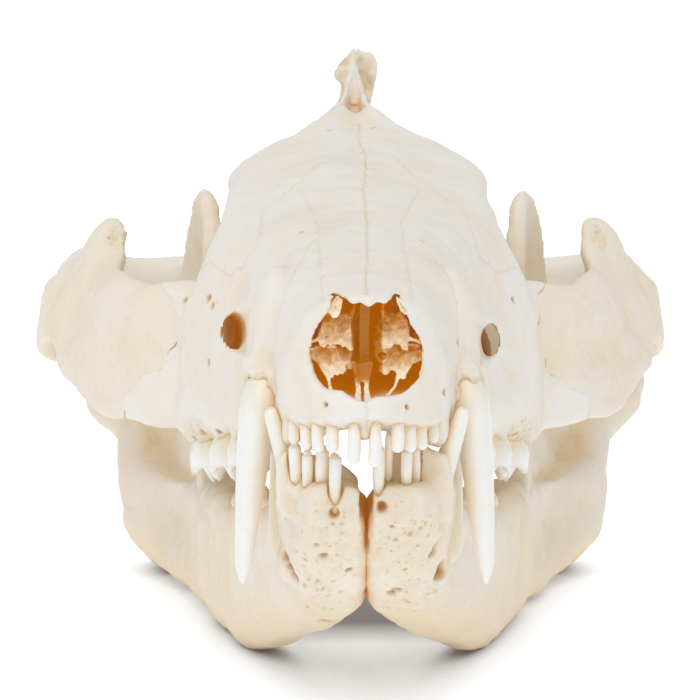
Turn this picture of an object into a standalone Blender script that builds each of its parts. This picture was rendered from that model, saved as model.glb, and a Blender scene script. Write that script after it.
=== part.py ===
"""Skull of an old male Virginia opossum, life size, lying on its lower jaw.

Sizes are in millimetres and are turned into metres by spot().  A place is written as
x (minus towards the left of a viewer who faces the nose), y (back from the front of the
nose) and z (up from the table).  Left and right in names are the viewer's too.  The skull
rests on its lower jaw with the nose a little up.
"""
import math

import bmesh
import bpy
from mathutils import Matrix, Vector

MM = 0.001
SKULL_LENGTH = 127.0
MIDDLE = SKULL_LENGTH / 2
SIDE_MIDDLE = -0.55
JOINT_GAP = 0.30

BONE_COLOR = (0.80, 0.74, 0.62, 1.0)
BONE_ROUGHNESS = 0.55
TOOTH_COLOR = (0.86, 0.84, 0.78, 1.0)
TOOTH_ROUGHNESS = 0.30

# Cranium sections from the nose back.  Each row is a half section:
# y, roof height, then x and z of the roof edge, the side wall, the cheek and the gum,
# and last the height of the palate or skull base in the middle.
CRANIUM_ROWS = (
    (0.6, 42.0, (5.0, 40.6), (6.9, 36.4), (7.4, 33.0), (6.8, 30.3), 30.8),
    (6.0, 42.7, (5.7, 41.2), (7.8, 37.0), (8.1, 33.2), (7.5, 29.6), 29.4),
    (11.0, 43.3, (6.4, 41.8), (8.7, 37.8), (8.9, 33.8), (7.6, 30.0), 29.2),
    (15.5, 43.9, (6.9, 42.4), (9.7, 37.8), (11.2, 32.8), (10.4, 29.8), 29.2),
    (20.5, 44.5, (7.2, 42.8), (10.0, 37.8), (10.9, 32.4), (10.0, 28.0), 28.6),
    (27.0, 45.2, (7.9, 43.2), (10.7, 37.6), (11.3, 31.8), (10.2, 26.2), 27.4),
    (34.0, 46.1, (9.0, 43.8), (12.0, 37.6), (12.9, 31.0), (11.8, 24.9), 26.2),
    (41.0, 46.9, (10.4, 44.2), (14.2, 37.8), (15.4, 30.0), (13.8, 23.3), 25.0),
    (47.0, 47.8, (11.6, 44.6), (16.6, 38.2), (18.2, 29.4), (16.3, 21.6), 23.8),
    (52.0, 48.5, (12.5, 45.2), (14.9, 39.5), (17.6, 28.0), (16.9, 20.6), 22.8),
    (57.0, 49.1, (12.9, 46.0), (12.6, 38.5), (14.4, 26.5), (14.2, 20.6), 21.8),
    (62.0, 49.6, (13.1, 46.6), (10.4, 38.5), (9.5, 28.5), (9.6, 20.4), 20.8),
    (66.5, 50.1, (13.3, 47.4), (8.8, 39.5), (6.6, 29.5), (7.2, 19.9), 19.9),
    (72.0, 50.6, (9.9, 49.2), (6.9, 41.5), (5.5, 30.0), (6.0, 19.6), 19.2),
    (78.0, 51.3, (5.2, 51.2), (5.6, 43.0), (5.5, 31.5), (5.4, 21.0), 19.0),
    (84.0, 51.9, (2.0, 52.3), (5.0, 44.0), (7.6, 33.0), (6.4, 21.2), 18.7),
    (90.0, 48.5, (4.2, 46.2), (8.2, 41.0), (10.8, 31.0), (9.0, 20.4), 18.3),
    (98.0, 46.5, (5.2, 45.0), (10.6, 39.0), (14.0, 29.5), (12.5, 19.5), 17.8),
    (106.0, 46.0, (5.4, 44.6), (11.4, 38.5), (15.6, 28.5), (14.6, 18.8), 17.2),
    (114.0, 45.4, (5.6, 43.8), (12.0, 37.5), (16.4, 27.5), (15.0, 17.8), 16.6),
    (120.5, 43.5, (5.0, 42.0), (11.5, 36.0), (15.5, 26.5), (11.5, 16.8), 16.2),
)
SECTION_STEPS = 3
FACE_BOW = 0.13
FACE_LEAN = 0.22
FACE_LEVEL = 30.0
FACE_FADE = 16.0
FACE_CENTRE = (0.0, 36.0)
FACE_SCALES = (0.15, 0.5, 0.8)

# Ridge of bone along the top of the skull: y, top height, foot height, half
# thickness at the top and at the foot.
SAGITTAL_CREST = (
    (81.0, 51.4, 46.0, 1.5, 2.2),
    (84.0, 52.0, 43.5, 1.3, 2.0),
    (88.0, 52.3, 42.5, 1.0, 1.9),
    (92.0, 52.8, 42.5, 0.7, 1.8),
    (98.0, 53.6, 42.5, 0.4, 1.8),
    (105.0, 54.6, 42.0, 0.4, 1.8),
    (112.0, 55.5, 41.6, 0.5, 2.0),
    (118.0, 56.3, 41.0, 0.6, 2.2),
    (122.0, 56.4, 40.0, 0.7, 2.4),
    (125.4, 54.4, 41.0, 0.6, 2.2),
)
# Flared plates at the back end of the crest: outline in x and z, y of the front face.
CREST_FLAKES = (
    (((0.2, 56.2), (1.4, 56.6), (2.4, 56.3), (2.95, 55.6), (3.1, 54.6), (2.75, 52.2), (2.25, 50.0), (1.9, 47.5),
      (0.2, 47.5)), 121.6),
    (((0.2, 56.5), (-0.7, 56.2), (-1.7, 55.3), (-2.3, 54.0), (-1.5, 52.9), (-1.45, 51.4), (-2.1, 50.0),
      (-2.4, 48.0), (0.2, 48.0)), 119.6),
)
CREST_FLAKE_THICKNESS = 1.1

# Ridge across the back of the skull, one side: x, y, z of its free edge and its
# depth inwards.
NUCHAL_CREST = (
    (0.0, 126.6, 54.6, 5.0),
    (1.8, 126.8, 50.6, 5.0),
    (4.4, 126.2, 46.8, 5.6),
    (8.6, 124.4, 44.2, 6.5),
    (12.8, 122.2, 41.0, 7.0),
    (15.8, 119.4, 35.6, 7.0),
    (18.0, 115.8, 28.6, 6.5),
    (18.4, 111.0, 22.0, 6.0),
)
NUCHAL_CENTRE = (0.0, 113.0, 31.0)
NUCHAL_THICKNESS = 2.4

# Cheek arch, one side, from the snout back to the braincase: x and y of its outer
# face, top and bottom heights, thickness, and how far the top leans inwards.
ARCH_ROWS = (
    (15.0, 44.0, 37.3, 25.0, 6.0, 1.0),
    (20.4, 50.5, 37.4, 22.2, 5.6, 2.0),
    (24.6, 55.5, 36.4, 22.4, 4.4, 1.8),
    (27.9, 62.0, 36.1, 22.8, 3.4, 1.0),
    (30.0, 69.0, 37.2, 24.4, 3.0, 2.2),
    (30.7, 73.2, 37.4, 25.8, 3.2, 3.8),
    (31.4, 75.8, 40.6, 26.7, 3.4, 6.0),
    (32.3, 79.0, 41.0, 27.3, 3.4, 6.0),
    (33.2, 81.6, 37.4, 27.2, 3.0, 4.4),
    (34.0, 84.0, 35.2, 26.8, 2.8, 2.4),
    (35.1, 89.0, 33.6, 25.2, 3.0, 1.4),
    (34.7, 94.5, 33.6, 23.2, 3.4, 0.8),
    (31.6, 99.2, 35.4, 22.7, 4.2, 0.4),
    (26.0, 102.2, 34.4, 22.6, 5.0, 0.0),
    (19.0, 103.4, 34.9, 21.5, 6.0, 0.0),
    (11.0, 103.6, 34.6, 21.0, 6.0, 0.0),
)
# The skull is not quite even: each arch stands out by its own amount at its widest.
ARCH_SPREAD = {-1: 0.6, 1: -0.5}
ARCH_SPREAD_START = 45.0
ARCH_SPREAD_RUN = 47.0
CHEEK_SUTURE = (20.4, 51.0, 31.0)
CHEEK_SUTURE_NORMAL = (math.cos(math.radians(20)), 0.0, math.sin(math.radians(20)))
TEMPLE_SUTURE = (34.0, 90.0, 32.4)
TEMPLE_SUTURE_NORMAL = (0.0, 0.655, 0.756)

# Swelling of the snout over the root of the upper canine.
ROOT_SWELLING_CENTRE = (8.2, 19.0, 36.4)
ROOT_SWELLING_HALF_SIZE = (2.6, 4.8, 5.6)

# Openings of the snout.
NOSE_HALF_OUTLINE = ((0.0, 41.6), (3.1, 41.5), (4.2, 39.0), (5.3, 36.4), (4.4, 34.2), (2.4, 33.4),
                     (0.0, 33.1))
NOSE_DEPTH = 15.0
NOSE_FRONT = -4.0
SEPTUM_HALF_THICKNESS = 0.7
SCROLLS = ((38.6, 1.3, 2.7), (35.9, 1.2, 2.5))
INFRAORBITAL_CANAL = ((11.6, 28.0, 34.2), (12.7, 37.0, 33.9), (13.6, 46.0, 33.6), (14.6, 56.0, 33.0))
INFRAORBITAL_RADIUS = 1.5
INFRAORBITAL_RISE = 1.35

# Back of the skull.
FORAMEN_MAGNUM = (0.0, 124.0, 24.6)
FORAMEN_HALF_SIZE = (4.8, 13.0, 4.2)
CONDYLE_CENTRE = (5.6, 122.6, 20.2)
CONDYLE_HALF_SIZE = (3.1, 3.9, 4.3)
MASTOID = ((16.2, 112.5, 25.0), (15.4, 113.5, 15.0), 4.2, 2.0)
PAROCCIPITAL = ((11.5, 117.5, 20.0), (11.8, 118.0, 12.6), 3.0, 1.4)
EAR_BULGE_CENTRE = (11.2, 102.0, 17.8)
EAR_BULGE_HALF_SIZE = (3.2, 4.4, 2.8)
POSTGLENOID = ((23.0, 103.4, 24.5), (22.4, 103.2, 17.2), 3.0, 1.2)
PTERYGOID = ((4.8, 76.0, 20.5), (5.2, 84.0, 14.6), 2.2, 0.7)
CHOANA_CENTRE = (0.0, 80.0, 19.2)
CHOANA_HALF_SIZE = (3.9, 8.0, 3.6)
PALATE_WINDOW = ((3.4, 38.0, 24.6), (3.6, 50.0, 22.4))
PALATE_WINDOW_RADIUS = 1.2
INCISIVE_WINDOW = ((1.9, 8.5, 28.4), (2.0, 13.5, 28.2))
INCISIVE_WINDOW_RADIUS = 0.9

# Teeth.  Incisors: x, y, z of the tip and the width.
UPPER_INCISORS = ((0.95, 1.2, 27.0, 1.25), (2.95, 2.3, 28.0, 1.2), (4.2, 3.7, 27.9, 1.15),
                  (5.25, 5.3, 27.9, 1.05), (6.35, 7.1, 28.5, 1.0))
INCISOR_ROOT_RISE = 5.2
CANINE_PATH = ((7.8, 18.6, 37.0), (8.8, 16.9, 34.2), (9.8, 15.5, 31.6), (10.4, 14.3, 27.5),
               (10.9, 13.9, 21.5), (11.1, 14.6, 16.5), (11.1, 15.1, 13.5))
CANINE_HALF_WIDTHS = (0.8, 1.2, 1.9, 2.0, 1.75, 1.1, 0.15)
CANINE_DEPTH_RATIO = 1.35
# Upper cheek teeth, one side: x, y of the middle, half width across, half length, and
# whether the crown is three-cornered.
UPPER_CHEEK_TEETH = (
    (9.3, 20.4, 0.8, 1.3, False),
    (9.5, 26.0, 1.2, 2.4, False),
    (10.4, 31.9, 1.5, 2.5, False),
    (11.1, 37.2, 2.2, 2.5, True),
    (12.7, 42.4, 2.5, 2.6, True),
    (14.4, 47.6, 2.7, 2.6, True),
    (15.1, 52.2, 2.4, 1.9, True),
)
UPPER_CROWN = 4.0
UPPER_ROOT = 2.6

# Lower jaw, one side: y, inner and outer x, top and bottom heights of the body.
JAW_BODY_ROWS = (
    (5.6, 0.35, 5.0, 24.2, 21.2),
    (8.5, 0.35, 6.6, 25.2, 18.0),
    (12.0, 0.35, 7.1, 23.2, 14.8),
    (17.0, 0.35, 7.6, 21.0, 11.8),
    (23.0, 0.40, 8.0, 19.6, 8.8),
    (28.0, 1.0, 8.7, 18.6, 7.0),
    (34.0, 3.0, 10.3, 17.5, 4.4),
    (41.0, 5.4, 12.5, 16.4, 1.9),
    (47.0, 7.4, 14.3, 15.5, 0.0),
    (50.0, 8.4, 15.0, 15.3, 0.0),
    (57.0, 10.8, 16.8, 15.2, 0.2),
    (64.0, 13.2, 18.2, 14.4, 0.6),
    (72.0, 15.8, 20.2, 13.2, 0.8),
    (80.0, 18.0, 22.8, 12.6, 1.0),
    (88.0, 20.2, 26.4, 12.8, 1.6),
    (92.5, 22.2, 27.8, 14.0, 4.4),
)
# Upright plate of the jaw: y, top and bottom heights, x at the top, at the middle and
# at the bottom, and its half thickness.
JAW_PLATE_ROWS = (
    (61.0, 13.5, 6.0, 15.7, 15.7, 15.6, 1.5),
    (66.0, 24.0, 6.0, 16.0, 16.3, 16.8, 1.5),
    (70.0, 33.5, 6.0, 16.2, 16.5, 17.6, 1.4),
    (74.0, 40.5, 6.0, 16.4, 16.7, 18.6, 1.2),
    (77.5, 43.9, 6.0, 17.0, 17.0, 19.6, 1.0),
    (81.5, 43.6, 6.0, 17.9, 17.6, 21.0, 1.0),
    (85.5, 39.0, 6.0, 18.9, 18.6, 22.2, 1.1),
    (89.0, 29.0, 6.0, 20.4, 20.2, 23.8, 1.3),
    (93.0, 22.5, 7.0, 22.6, 22.6, 25.4, 1.6),
    (97.0, 20.0, 12.0, 25.0, 25.0, 25.6, 1.8),
)
JAW_CONDYLE = ((22.4, 97.4, 20.2), (32.4, 97.8, 20.0), 2.4, 2.2)
JAW_NECK = ((25.2, 90.0, 9.5), (25.9, 95.8, 15.8), 2.2, 2.4)
JAW_NECK_TOP = ((25.6, 95.2, 15.0), (30.0, 97.8, 19.4), 2.3, 2.6)
# Inturned corner of the jaw: x, y, top and bottom heights, half length.
JAW_ANGLE_ROWS = (
    (24.0, 90.0, 6.0, 1.2, 4.5),
    (20.0, 91.5, 3.6, 0.0, 5.0),
    (16.5, 93.5, 2.8, 0.0, 4.4),
    (13.4, 96.5, 3.2, 1.0, 2.4),
    (11.8, 99.0, 4.2, 2.8, 0.9),
)
JAW_TURN = math.radians(0.6)
LOWER_INCISORS = {
    -1: ((2.75, 5.6, 27.4), (3.9, 5.9, 27.6), (5.1, 6.6, 27.2), (6.15, 7.6, 27.8)),
    1: ((1.4, 5.4, 27.9), (2.5, 5.6, 28.6), (3.7, 6.2, 27.6), (4.7, 7.0, 27.3)),
}
LOWER_INCISOR_WIDTH = 1.0
LOWER_INCISOR_ROOT = 5.4
LOWER_CANINE_PATH = ((4.9, 16.5, 14.0), (6.0, 13.0, 20.5), (7.1, 11.3, 24.8), (8.2, 10.4, 28.4),
                     (8.9, 9.9, 30.6))
LOWER_CANINE_HALF_WIDTHS = (1.5, 1.35, 1.15, 0.9, 0.5)
# Lower cheek teeth, one side: x, y, half width, half length and crown top height.
LOWER_CHEEK_TEETH = (
    (6.2, 17.6, 0.9, 1.5, 22.4),
    (6.7, 22.6, 1.2, 2.3, 22.0),
    (7.5, 28.0, 1.3, 2.3, 21.0),
    (8.6, 33.2, 1.5, 2.4, 19.9),
    (9.8, 38.5, 1.6, 2.5, 18.9),
    (11.1, 43.9, 1.7, 2.5, 17.9),
    (12.3, 49.2, 1.6, 2.4, 16.8),
)
LOWER_ROOT = 4.0


def clear_scene():
    for thing in list(bpy.data.objects):
        bpy.data.objects.remove(thing, do_unlink=True)


def make_material(name, color, roughness):
    surface = bpy.data.materials.new(name)
    surface.use_nodes = True
    shader = surface.node_tree.nodes["Principled BSDF"]
    shader.inputs["Base Color"].default_value = color
    shader.inputs["Roughness"].default_value = roughness
    shader.inputs["Metallic"].default_value = 0.0
    return surface


def spot(x, y, z):
    """Place in metres, with the origin on the table under the middle of the skull."""
    return Vector((x - SIDE_MIDDLE, y - MIDDLE, z)) * MM


def new_object(name, shape):
    bmesh.ops.recalc_face_normals(shape, faces=shape.faces)
    mesh = bpy.data.meshes.new(name)
    shape.to_mesh(mesh)
    shape.free()
    body = bpy.data.objects.new(name, mesh)
    bpy.context.scene.collection.objects.link(body)
    return body


def loft(name, rings):
    """Closed body skinned from ring to ring, with a fan of faces over both ends."""
    shape = bmesh.new()
    rows = [[shape.verts.new(point) for point in ring] for ring in rings]
    for near, far in zip(rows, rows[1:]):
        for i, corner in enumerate(near):
            following = (i + 1) % len(near)
            shape.faces.new((corner, near[following], far[following], far[i]))
    for end in (rows[0], rows[-1]):
        middle = shape.verts.new(sum((v.co for v in end), Vector()) / len(end))
        for i, corner in enumerate(end):
            shape.faces.new((corner, end[(i + 1) % len(end)], middle))
    return new_object(name, shape)


def curve_point(before, start, end, after, t):
    """Point on a smooth curve between start and end."""
    slope_in = (end - before) / 2
    slope_out = (after - start) / 2
    t2 = t * t
    t3 = t2 * t
    return (start * (2 * t3 - 3 * t2 + 1) + slope_in * (t3 - 2 * t2 + t)
            + end * (3 * t2 - 2 * t3) + slope_out * (t3 - t2))


def mirrored_ring(half, steps):
    """Full ring through a half section given from the top middle to the bottom middle."""
    flip = lambda p: Vector((-p.x, p.y))
    padded = [flip(half[1])] + half + [flip(half[-2])]
    line = []
    for i in range(len(half) - 1):
        for k in range(steps):
            line.append(curve_point(*padded[i:i + 4], k / steps))
    line.append(half[-1])
    return line + [flip(p) for p in line[-2:0:-1]]


def round_ring(centre, across, along, half_width, half_depth, count):
    """Oval ring of points around a centre."""
    ring = []
    for i in range(count):
        turn = math.tau * i / count
        ring.append(centre + across * (half_width * math.cos(turn)) + along * (half_depth * math.sin(turn)))
    return ring


def tube(name, path, half_widths, depth_ratio=1.0, count=10):
    """Round bar along a path, with its own half width at each point."""
    rings = []
    for i, point in enumerate(path):
        ahead = path[min(i + 1, len(path) - 1)] - path[max(i - 1, 0)]
        ahead.normalize()
        across = Vector((1, 0, 0)) if abs(ahead.x) < 0.8 else Vector((0, 1, 0))
        along = ahead.cross(across).normalized()
        across = along.cross(ahead).normalized()
        width = half_widths[i] * MM
        rings.append(round_ring(point, across, along, width, width * depth_ratio, count))
    return loft(name, rings)


def peg(name, start, end, start_radius, end_radius, count=10):
    """Short tapering bar with a rounded end, from one place to another."""
    first, last = spot(*start), spot(*end)
    path = [first.lerp(last, t) for t in (0.0, 0.7, 0.93, 1.0)]
    radii = [start_radius, start_radius * 0.3 + end_radius * 0.7, end_radius * 0.8, end_radius * 0.3]
    return tube(name, path, radii, 1.0, count)


def oval_body(name, centre, half_size, segments=16, rings=10):
    shape = bmesh.new()
    size = Matrix.Diagonal(Vector(half_size) * MM).to_4x4()
    bmesh.ops.create_uvsphere(shape, u_segments=segments, v_segments=rings, radius=1.0,
                              matrix=Matrix.Translation(spot(*centre)) @ size)
    return new_object(name, shape)


def mirror_copy(body, name):
    """Copy on the other side of the skull's own middle plane."""
    shape = bmesh.new()
    shape.from_mesh(body.data)
    bmesh.ops.scale(shape, vec=(-1, 1, 1), verts=shape.verts, space=Matrix.Translation(-spot(0, 0, 0)))
    bmesh.ops.reverse_faces(shape, faces=shape.faces)
    return new_object(name, shape)


def both_sides(body):
    return [body, mirror_copy(body, body.name + "_far")]


def trimmed(body, name, place, normal, offset):
    """Copy of a body cut off square at a plane, keeping the side behind the normal."""
    shape = bmesh.new()
    shape.from_mesh(body.data)
    direction = Vector(normal)
    cut_at = spot(*place) + direction * offset * MM
    cut = bmesh.ops.bisect_plane(shape, geom=shape.verts[:] + shape.edges[:] + shape.faces[:],
                                 plane_co=cut_at, plane_no=direction, clear_outer=True)
    rim = [item for item in cut["geom_cut"] if isinstance(item, bmesh.types.BMEdge)]
    bmesh.ops.holes_fill(shape, edges=rim, sides=0)
    return new_object(name, shape)


def combine(body, others, operation):
    """Join the others to a body, or cut them out of it, and remove them."""
    for other in others:
        step = body.modifiers.new(operation, "BOOLEAN")
        step.operation = operation
        step.solver = "MANIFOLD"
        step.object = other
        result = bpy.data.meshes.new_from_object(body.evaluated_get(bpy.context.evaluated_depsgraph_get()))
        body.modifiers.clear()
        body.data = result
        bpy.data.objects.remove(other, do_unlink=True)


def surfaces_of(shape):
    """Lists of faces that hang together."""
    unseen = set(shape.faces)
    groups = []
    while unseen:
        edge = [unseen.pop()]
        group = []
        while edge:
            face = edge.pop()
            group.append(face)
            for side in face.edges:
                for near in side.link_faces:
                    if near in unseen:
                        unseen.discard(near)
                        edge.append(near)
        groups.append(group)
    return groups


def tidy_mesh(body, surface):
    """Keep the largest closed surface, clean it and give it its material."""
    shape = bmesh.new()
    shape.from_mesh(body.data)
    groups = sorted(surfaces_of(shape), key=len)
    loose = [face for group in groups[:-1] for face in group]
    bmesh.ops.delete(shape, geom=loose, context="FACES")
    bmesh.ops.triangulate(shape, faces=shape.faces)
    bmesh.ops.recalc_face_normals(shape, faces=shape.faces)
    shape.to_mesh(body.data)
    shape.free()
    body.data.materials.clear()
    body.data.materials.append(surface)


def cranium_ring(row, scale=1.0):
    """Section of the cranium.  The face bows back to the sides and leans back at the top."""
    y, roof, edge, wall, cheek, gum, base = row
    half = [Vector((0.0, roof)), Vector(edge), Vector(wall), Vector(cheek), Vector(gum),
            Vector((0.0, base))]
    fade = max(0.0, 1.0 - y / FACE_FADE)
    centre = Vector(FACE_CENTRE)
    ring = []
    for point in mirrored_ring(half, SECTION_STEPS):
        point = centre + (point - centre) * scale
        set_back = fade * (FACE_BOW * point.x ** 2 + FACE_LEAN * (point.y - FACE_LEVEL))
        ring.append(spot(point.x, y + set_back, point.y))
    return ring


def skull_shell():
    face = [cranium_ring(CRANIUM_ROWS[0], scale) for scale in FACE_SCALES]
    return loft("cranium", face + [cranium_ring(row) for row in CRANIUM_ROWS])


def sagittal_crest():
    rings = []
    for y, top, foot, thin, thick in SAGITTAL_CREST:
        middle = (top * 2 + foot) / 3
        half = [(0.0, top), (thin, top - 0.7), (thin * 1.3, middle), (thick, foot)]
        left = [(-x, z) for x, z in reversed(half[1:])]
        rings.append([spot(x, y, z) for x, z in half + left])
    return loft("sagittal_crest", rings)


def crest_flake(outline, y):
    return loft("flake", [[spot(x, y + back, z) for x, z in outline] for back in (0.0, CREST_FLAKE_THICKNESS)])


def nuchal_crest():
    centre = Vector(NUCHAL_CENTRE)
    edge = [(Vector(row[:3]), row[3]) for row in NUCHAL_CREST]
    far = [(Vector((-point.x, point.y, point.z)), depth) for point, depth in reversed(edge[1:])]
    rings = []
    for point, depth in far + edge:
        inward = (centre - point).normalized()
        side = Vector((0, 1, 0)).cross(inward).cross(inward).normalized() * (NUCHAL_THICKNESS / 2)
        foot = point + inward * depth
        shoulder = point + inward * 0.8
        corners = (point, shoulder + side, foot + side * 2, foot - side * 2, shoulder - side)
        rings.append([spot(*corner) for corner in corners])
    return loft("nuchal_crest", rings)


def arch_ring(i, spread):
    """Rounded plate section of the cheek arch, square to its path."""
    x, y, top, bottom, thickness, lean = ARCH_ROWS[i]
    x += spread * min(1.0, max(0.0, (y - ARCH_SPREAD_START) / ARCH_SPREAD_RUN))
    before = ARCH_ROWS[max(i - 1, 0)]
    after = ARCH_ROWS[min(i + 1, len(ARCH_ROWS) - 1)]
    run = Vector((after[0] - before[0], after[1] - before[1])).normalized()
    inward = Vector((-run.y, run.x))
    height = top - bottom
    profile = ((0.0, 0.30), (0.0, 0.62), (0.18, 0.90), (0.5, 1.0), (0.85, 0.92),
               (1.0, 0.62), (1.0, 0.30), (0.85, 0.07), (0.5, 0.0), (0.12, 0.08))
    ring = []
    for across, up in profile:
        depth = across * thickness + lean * (up - 0.3)
        ring.append(spot(x + inward.x * depth, y + inward.y * depth, bottom + up * height))
    return ring


def cheek_arch(side):
    """Whole arch of one side, drawn on the +x side of the skull."""
    return loft("arch", [arch_ring(i, ARCH_SPREAD[side]) for i in range(len(ARCH_ROWS))])


def on_side(body, side):
    """Body drawn on the +x side, moved over to the side that is asked for."""
    if side > 0:
        return body
    name = body.name
    moved = mirror_copy(body, name + "_moved")
    bpy.data.objects.remove(body, do_unlink=True)
    moved.name = name
    return moved


def turned_jaw(body):
    """The lower jaw sits a little askew: its back end lies towards +x."""
    shape = bmesh.new()
    shape.from_mesh(body.data)
    bmesh.ops.rotate(shape, cent=spot(0, 0, 0), matrix=Matrix.Rotation(-JAW_TURN, 3, "Z"), verts=shape.verts)
    shape.to_mesh(body.data)
    shape.free()
    return body


def arch_front(arch):
    """The snout's own root of the arch, in front of the cheek suture."""
    return trimmed(arch, "arch_front", CHEEK_SUTURE, CHEEK_SUTURE_NORMAL, -JOINT_GAP / 2)


def arch_back(arch):
    """The temple's part of the arch, above and behind its suture with the cheek bone."""
    reverse = tuple(-value for value in TEMPLE_SUTURE_NORMAL)
    return trimmed(arch, "arch_back", TEMPLE_SUTURE, reverse, -JOINT_GAP / 2)


def cheek_bone(arch, name):
    reverse = tuple(-value for value in CHEEK_SUTURE_NORMAL)
    rear = trimmed(arch, "cheek_blank", CHEEK_SUTURE, reverse, -JOINT_GAP / 2)
    bone = trimmed(rear, name, TEMPLE_SUTURE, TEMPLE_SUTURE_NORMAL, -JOINT_GAP / 2)
    bpy.data.objects.remove(rear, do_unlink=True)
    return bone


def nose_cutter():
    rings = []
    half = [Vector(point) for point in NOSE_HALF_OUTLINE]
    for depth, scale in ((NOSE_FRONT, 1.0), (6.0, 1.0), (NOSE_DEPTH, 0.86)):
        centre = Vector((0.0, 37.4))
        ring = [centre + (point - centre) * scale for point in mirrored_ring(half, 2)]
        rings.append([spot(point.x, depth, point.y) for point in ring])
    return loft("nose_cutter", rings)


def nose_septum():
    """Upright plate in the middle of the nose, from the floor to the roof."""
    top, bottom = NOSE_HALF_OUTLINE[0][1] + 0.8, NOSE_HALF_OUTLINE[-1][1] - 0.8
    rings = []
    for y in (5.0, NOSE_DEPTH + 1.0):
        half = SEPTUM_HALF_THICKNESS
        corners = ((-half, bottom), (half, bottom), (half, top), (-half, top))
        rings.append([spot(x, y, z) for x, z in corners])
    return loft("septum", rings)


def nose_scroll(height, radius, reach):
    """Curled shelf that grows from the side wall of the nose towards the middle."""
    rings = []
    for y, size in ((6.5, 0.7), (8.5, 1.0), (NOSE_DEPTH + 0.5, 1.0)):
        wall = spot(5.8, y, height)
        lip = spot(5.8 - reach * size - 0.8, y, height + 0.2)
        up = Vector((0, 0, radius * 0.45 * size * MM))
        knob = Vector((0.7 * size * MM, 0, 0))
        rings.append([wall - up, lip + knob - up * 0.6, lip - up * 1.4, lip - knob, lip + up * 1.4,
                      lip + knob + up * 0.6, wall + up])
    return loft("scroll", rings)


def incisor(name, tip, width, root_rise, side):
    """Small peg tooth that points down, or up where the root lies below the tip."""
    x, y, z = tip
    half = width / 2
    direction = 1 if root_rise > 0 else -1
    path = [spot(side * x * 0.94, y + 1.6, z + root_rise), spot(side * x, y + 0.3, z + root_rise * 0.45),
            spot(side * x, y, z + direction * 0.35), spot(side * x, y, z)]
    return tube(name, path, (half * 0.85, half * 0.95, half, half * 0.5), 1.15, 8)


def upper_cheek_height(y):
    """Height of the upper gum line beside a cheek tooth."""
    return 21.4 + (50.0 - y) * 0.19


def crown_ring(centre, half_width, half_length, three_cornered, scale, z, side):
    """Ring around a cheek tooth's crown.  A molar narrows towards the tongue."""
    ring = []
    count = 8
    for i in range(count):
        turn = math.tau * (i + 0.5) / count
        across, along = math.cos(turn), math.sin(turn)
        if three_cornered and across < 0:
            along *= 0.55
        ring.append(spot(side * (centre[0] + across * half_width * scale),
                         centre[1] + along * half_length * scale, z))
    return ring


def cheek_tooth(name, centre, half_width, half_length, three_cornered, levels, side):
    """Crown and root as one block.  Levels are pairs of height and scale."""
    return loft(name, [crown_ring(centre, half_width, half_length, three_cornered, scale, z, side)
                       for z, scale in levels])


def upper_teeth():
    teeth = []
    for side in (-1, 1):
        for x, y, z, width in UPPER_INCISORS:
            teeth.append(incisor("tooth", (x, y, z), width, INCISOR_ROOT_RISE, side))
        for x, y, half_width, half_length, molar in UPPER_CHEEK_TEETH:
            gum = upper_cheek_height(y)
            crown = UPPER_CROWN if half_length > 2.0 else UPPER_CROWN * 0.7
            levels = ((gum + UPPER_ROOT, 0.75), (gum, 0.85), (gum - crown * 0.45, 1.0), (gum - crown, 0.7))
            teeth.append(cheek_tooth("tooth", (x, y), half_width, half_length, molar, levels, side))
    return teeth


def canine_body(name, path, half_widths, side, swell=0.0):
    places = [spot(side * x, y, z) for x, y, z in path]
    return tube(name, places, [width + swell for width in half_widths], CANINE_DEPTH_RATIO, 12)


def slot_cutter(ends, radius):
    return both_sides(peg("slot", ends[0], ends[1], radius, radius, 8))


def canal_cutter():
    path = [spot(*point) for point in INFRAORBITAL_CANAL]
    radii = [INFRAORBITAL_RADIUS] * len(path)
    return both_sides(tube("canal", path, radii, INFRAORBITAL_RISE, 12))


def build_cranium(arches, surface):
    body = skull_shell()
    blocks = [sagittal_crest(), nuchal_crest()]
    blocks += [crest_flake(outline, y) for outline, y in CREST_FLAKES]
    for side, arch in arches.items():
        blocks += [on_side(arch_front(arch), side), on_side(arch_back(arch), side)]
    blocks += both_sides(oval_body("condyle", CONDYLE_CENTRE, CONDYLE_HALF_SIZE))
    blocks += both_sides(oval_body("ear_bulge", EAR_BULGE_CENTRE, EAR_BULGE_HALF_SIZE))
    blocks += both_sides(oval_body("swelling", ROOT_SWELLING_CENTRE, ROOT_SWELLING_HALF_SIZE, 20, 12))
    for start, end, wide, narrow in (MASTOID, PAROCCIPITAL, POSTGLENOID, PTERYGOID):
        blocks += both_sides(peg("process", start, end, wide, narrow))
    combine(body, blocks, "UNION")
    cutters = [nose_cutter(), oval_body("foramen", FORAMEN_MAGNUM, FORAMEN_HALF_SIZE),
               oval_body("choana", CHOANA_CENTRE, CHOANA_HALF_SIZE)]
    cutters += canal_cutter()
    cutters += slot_cutter(PALATE_WINDOW, PALATE_WINDOW_RADIUS)
    cutters += slot_cutter(INCISIVE_WINDOW, INCISIVE_WINDOW_RADIUS)
    for side in (-1, 1):
        cutters.append(canine_body("socket", CANINE_PATH, CANINE_HALF_WIDTHS, side, JOINT_GAP))
        notch = canine_body("notch", LOWER_CANINE_PATH, LOWER_CANINE_HALF_WIDTHS, side, JOINT_GAP)
        cutters.append(turned_jaw(notch))
    combine(body, cutters, "DIFFERENCE")
    linings = [nose_septum()] + upper_teeth()
    for height, radius, reach in SCROLLS:
        linings += both_sides(nose_scroll(height, radius, reach))
    combine(body, linings, "UNION")
    tidy_mesh(body, surface)


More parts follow.
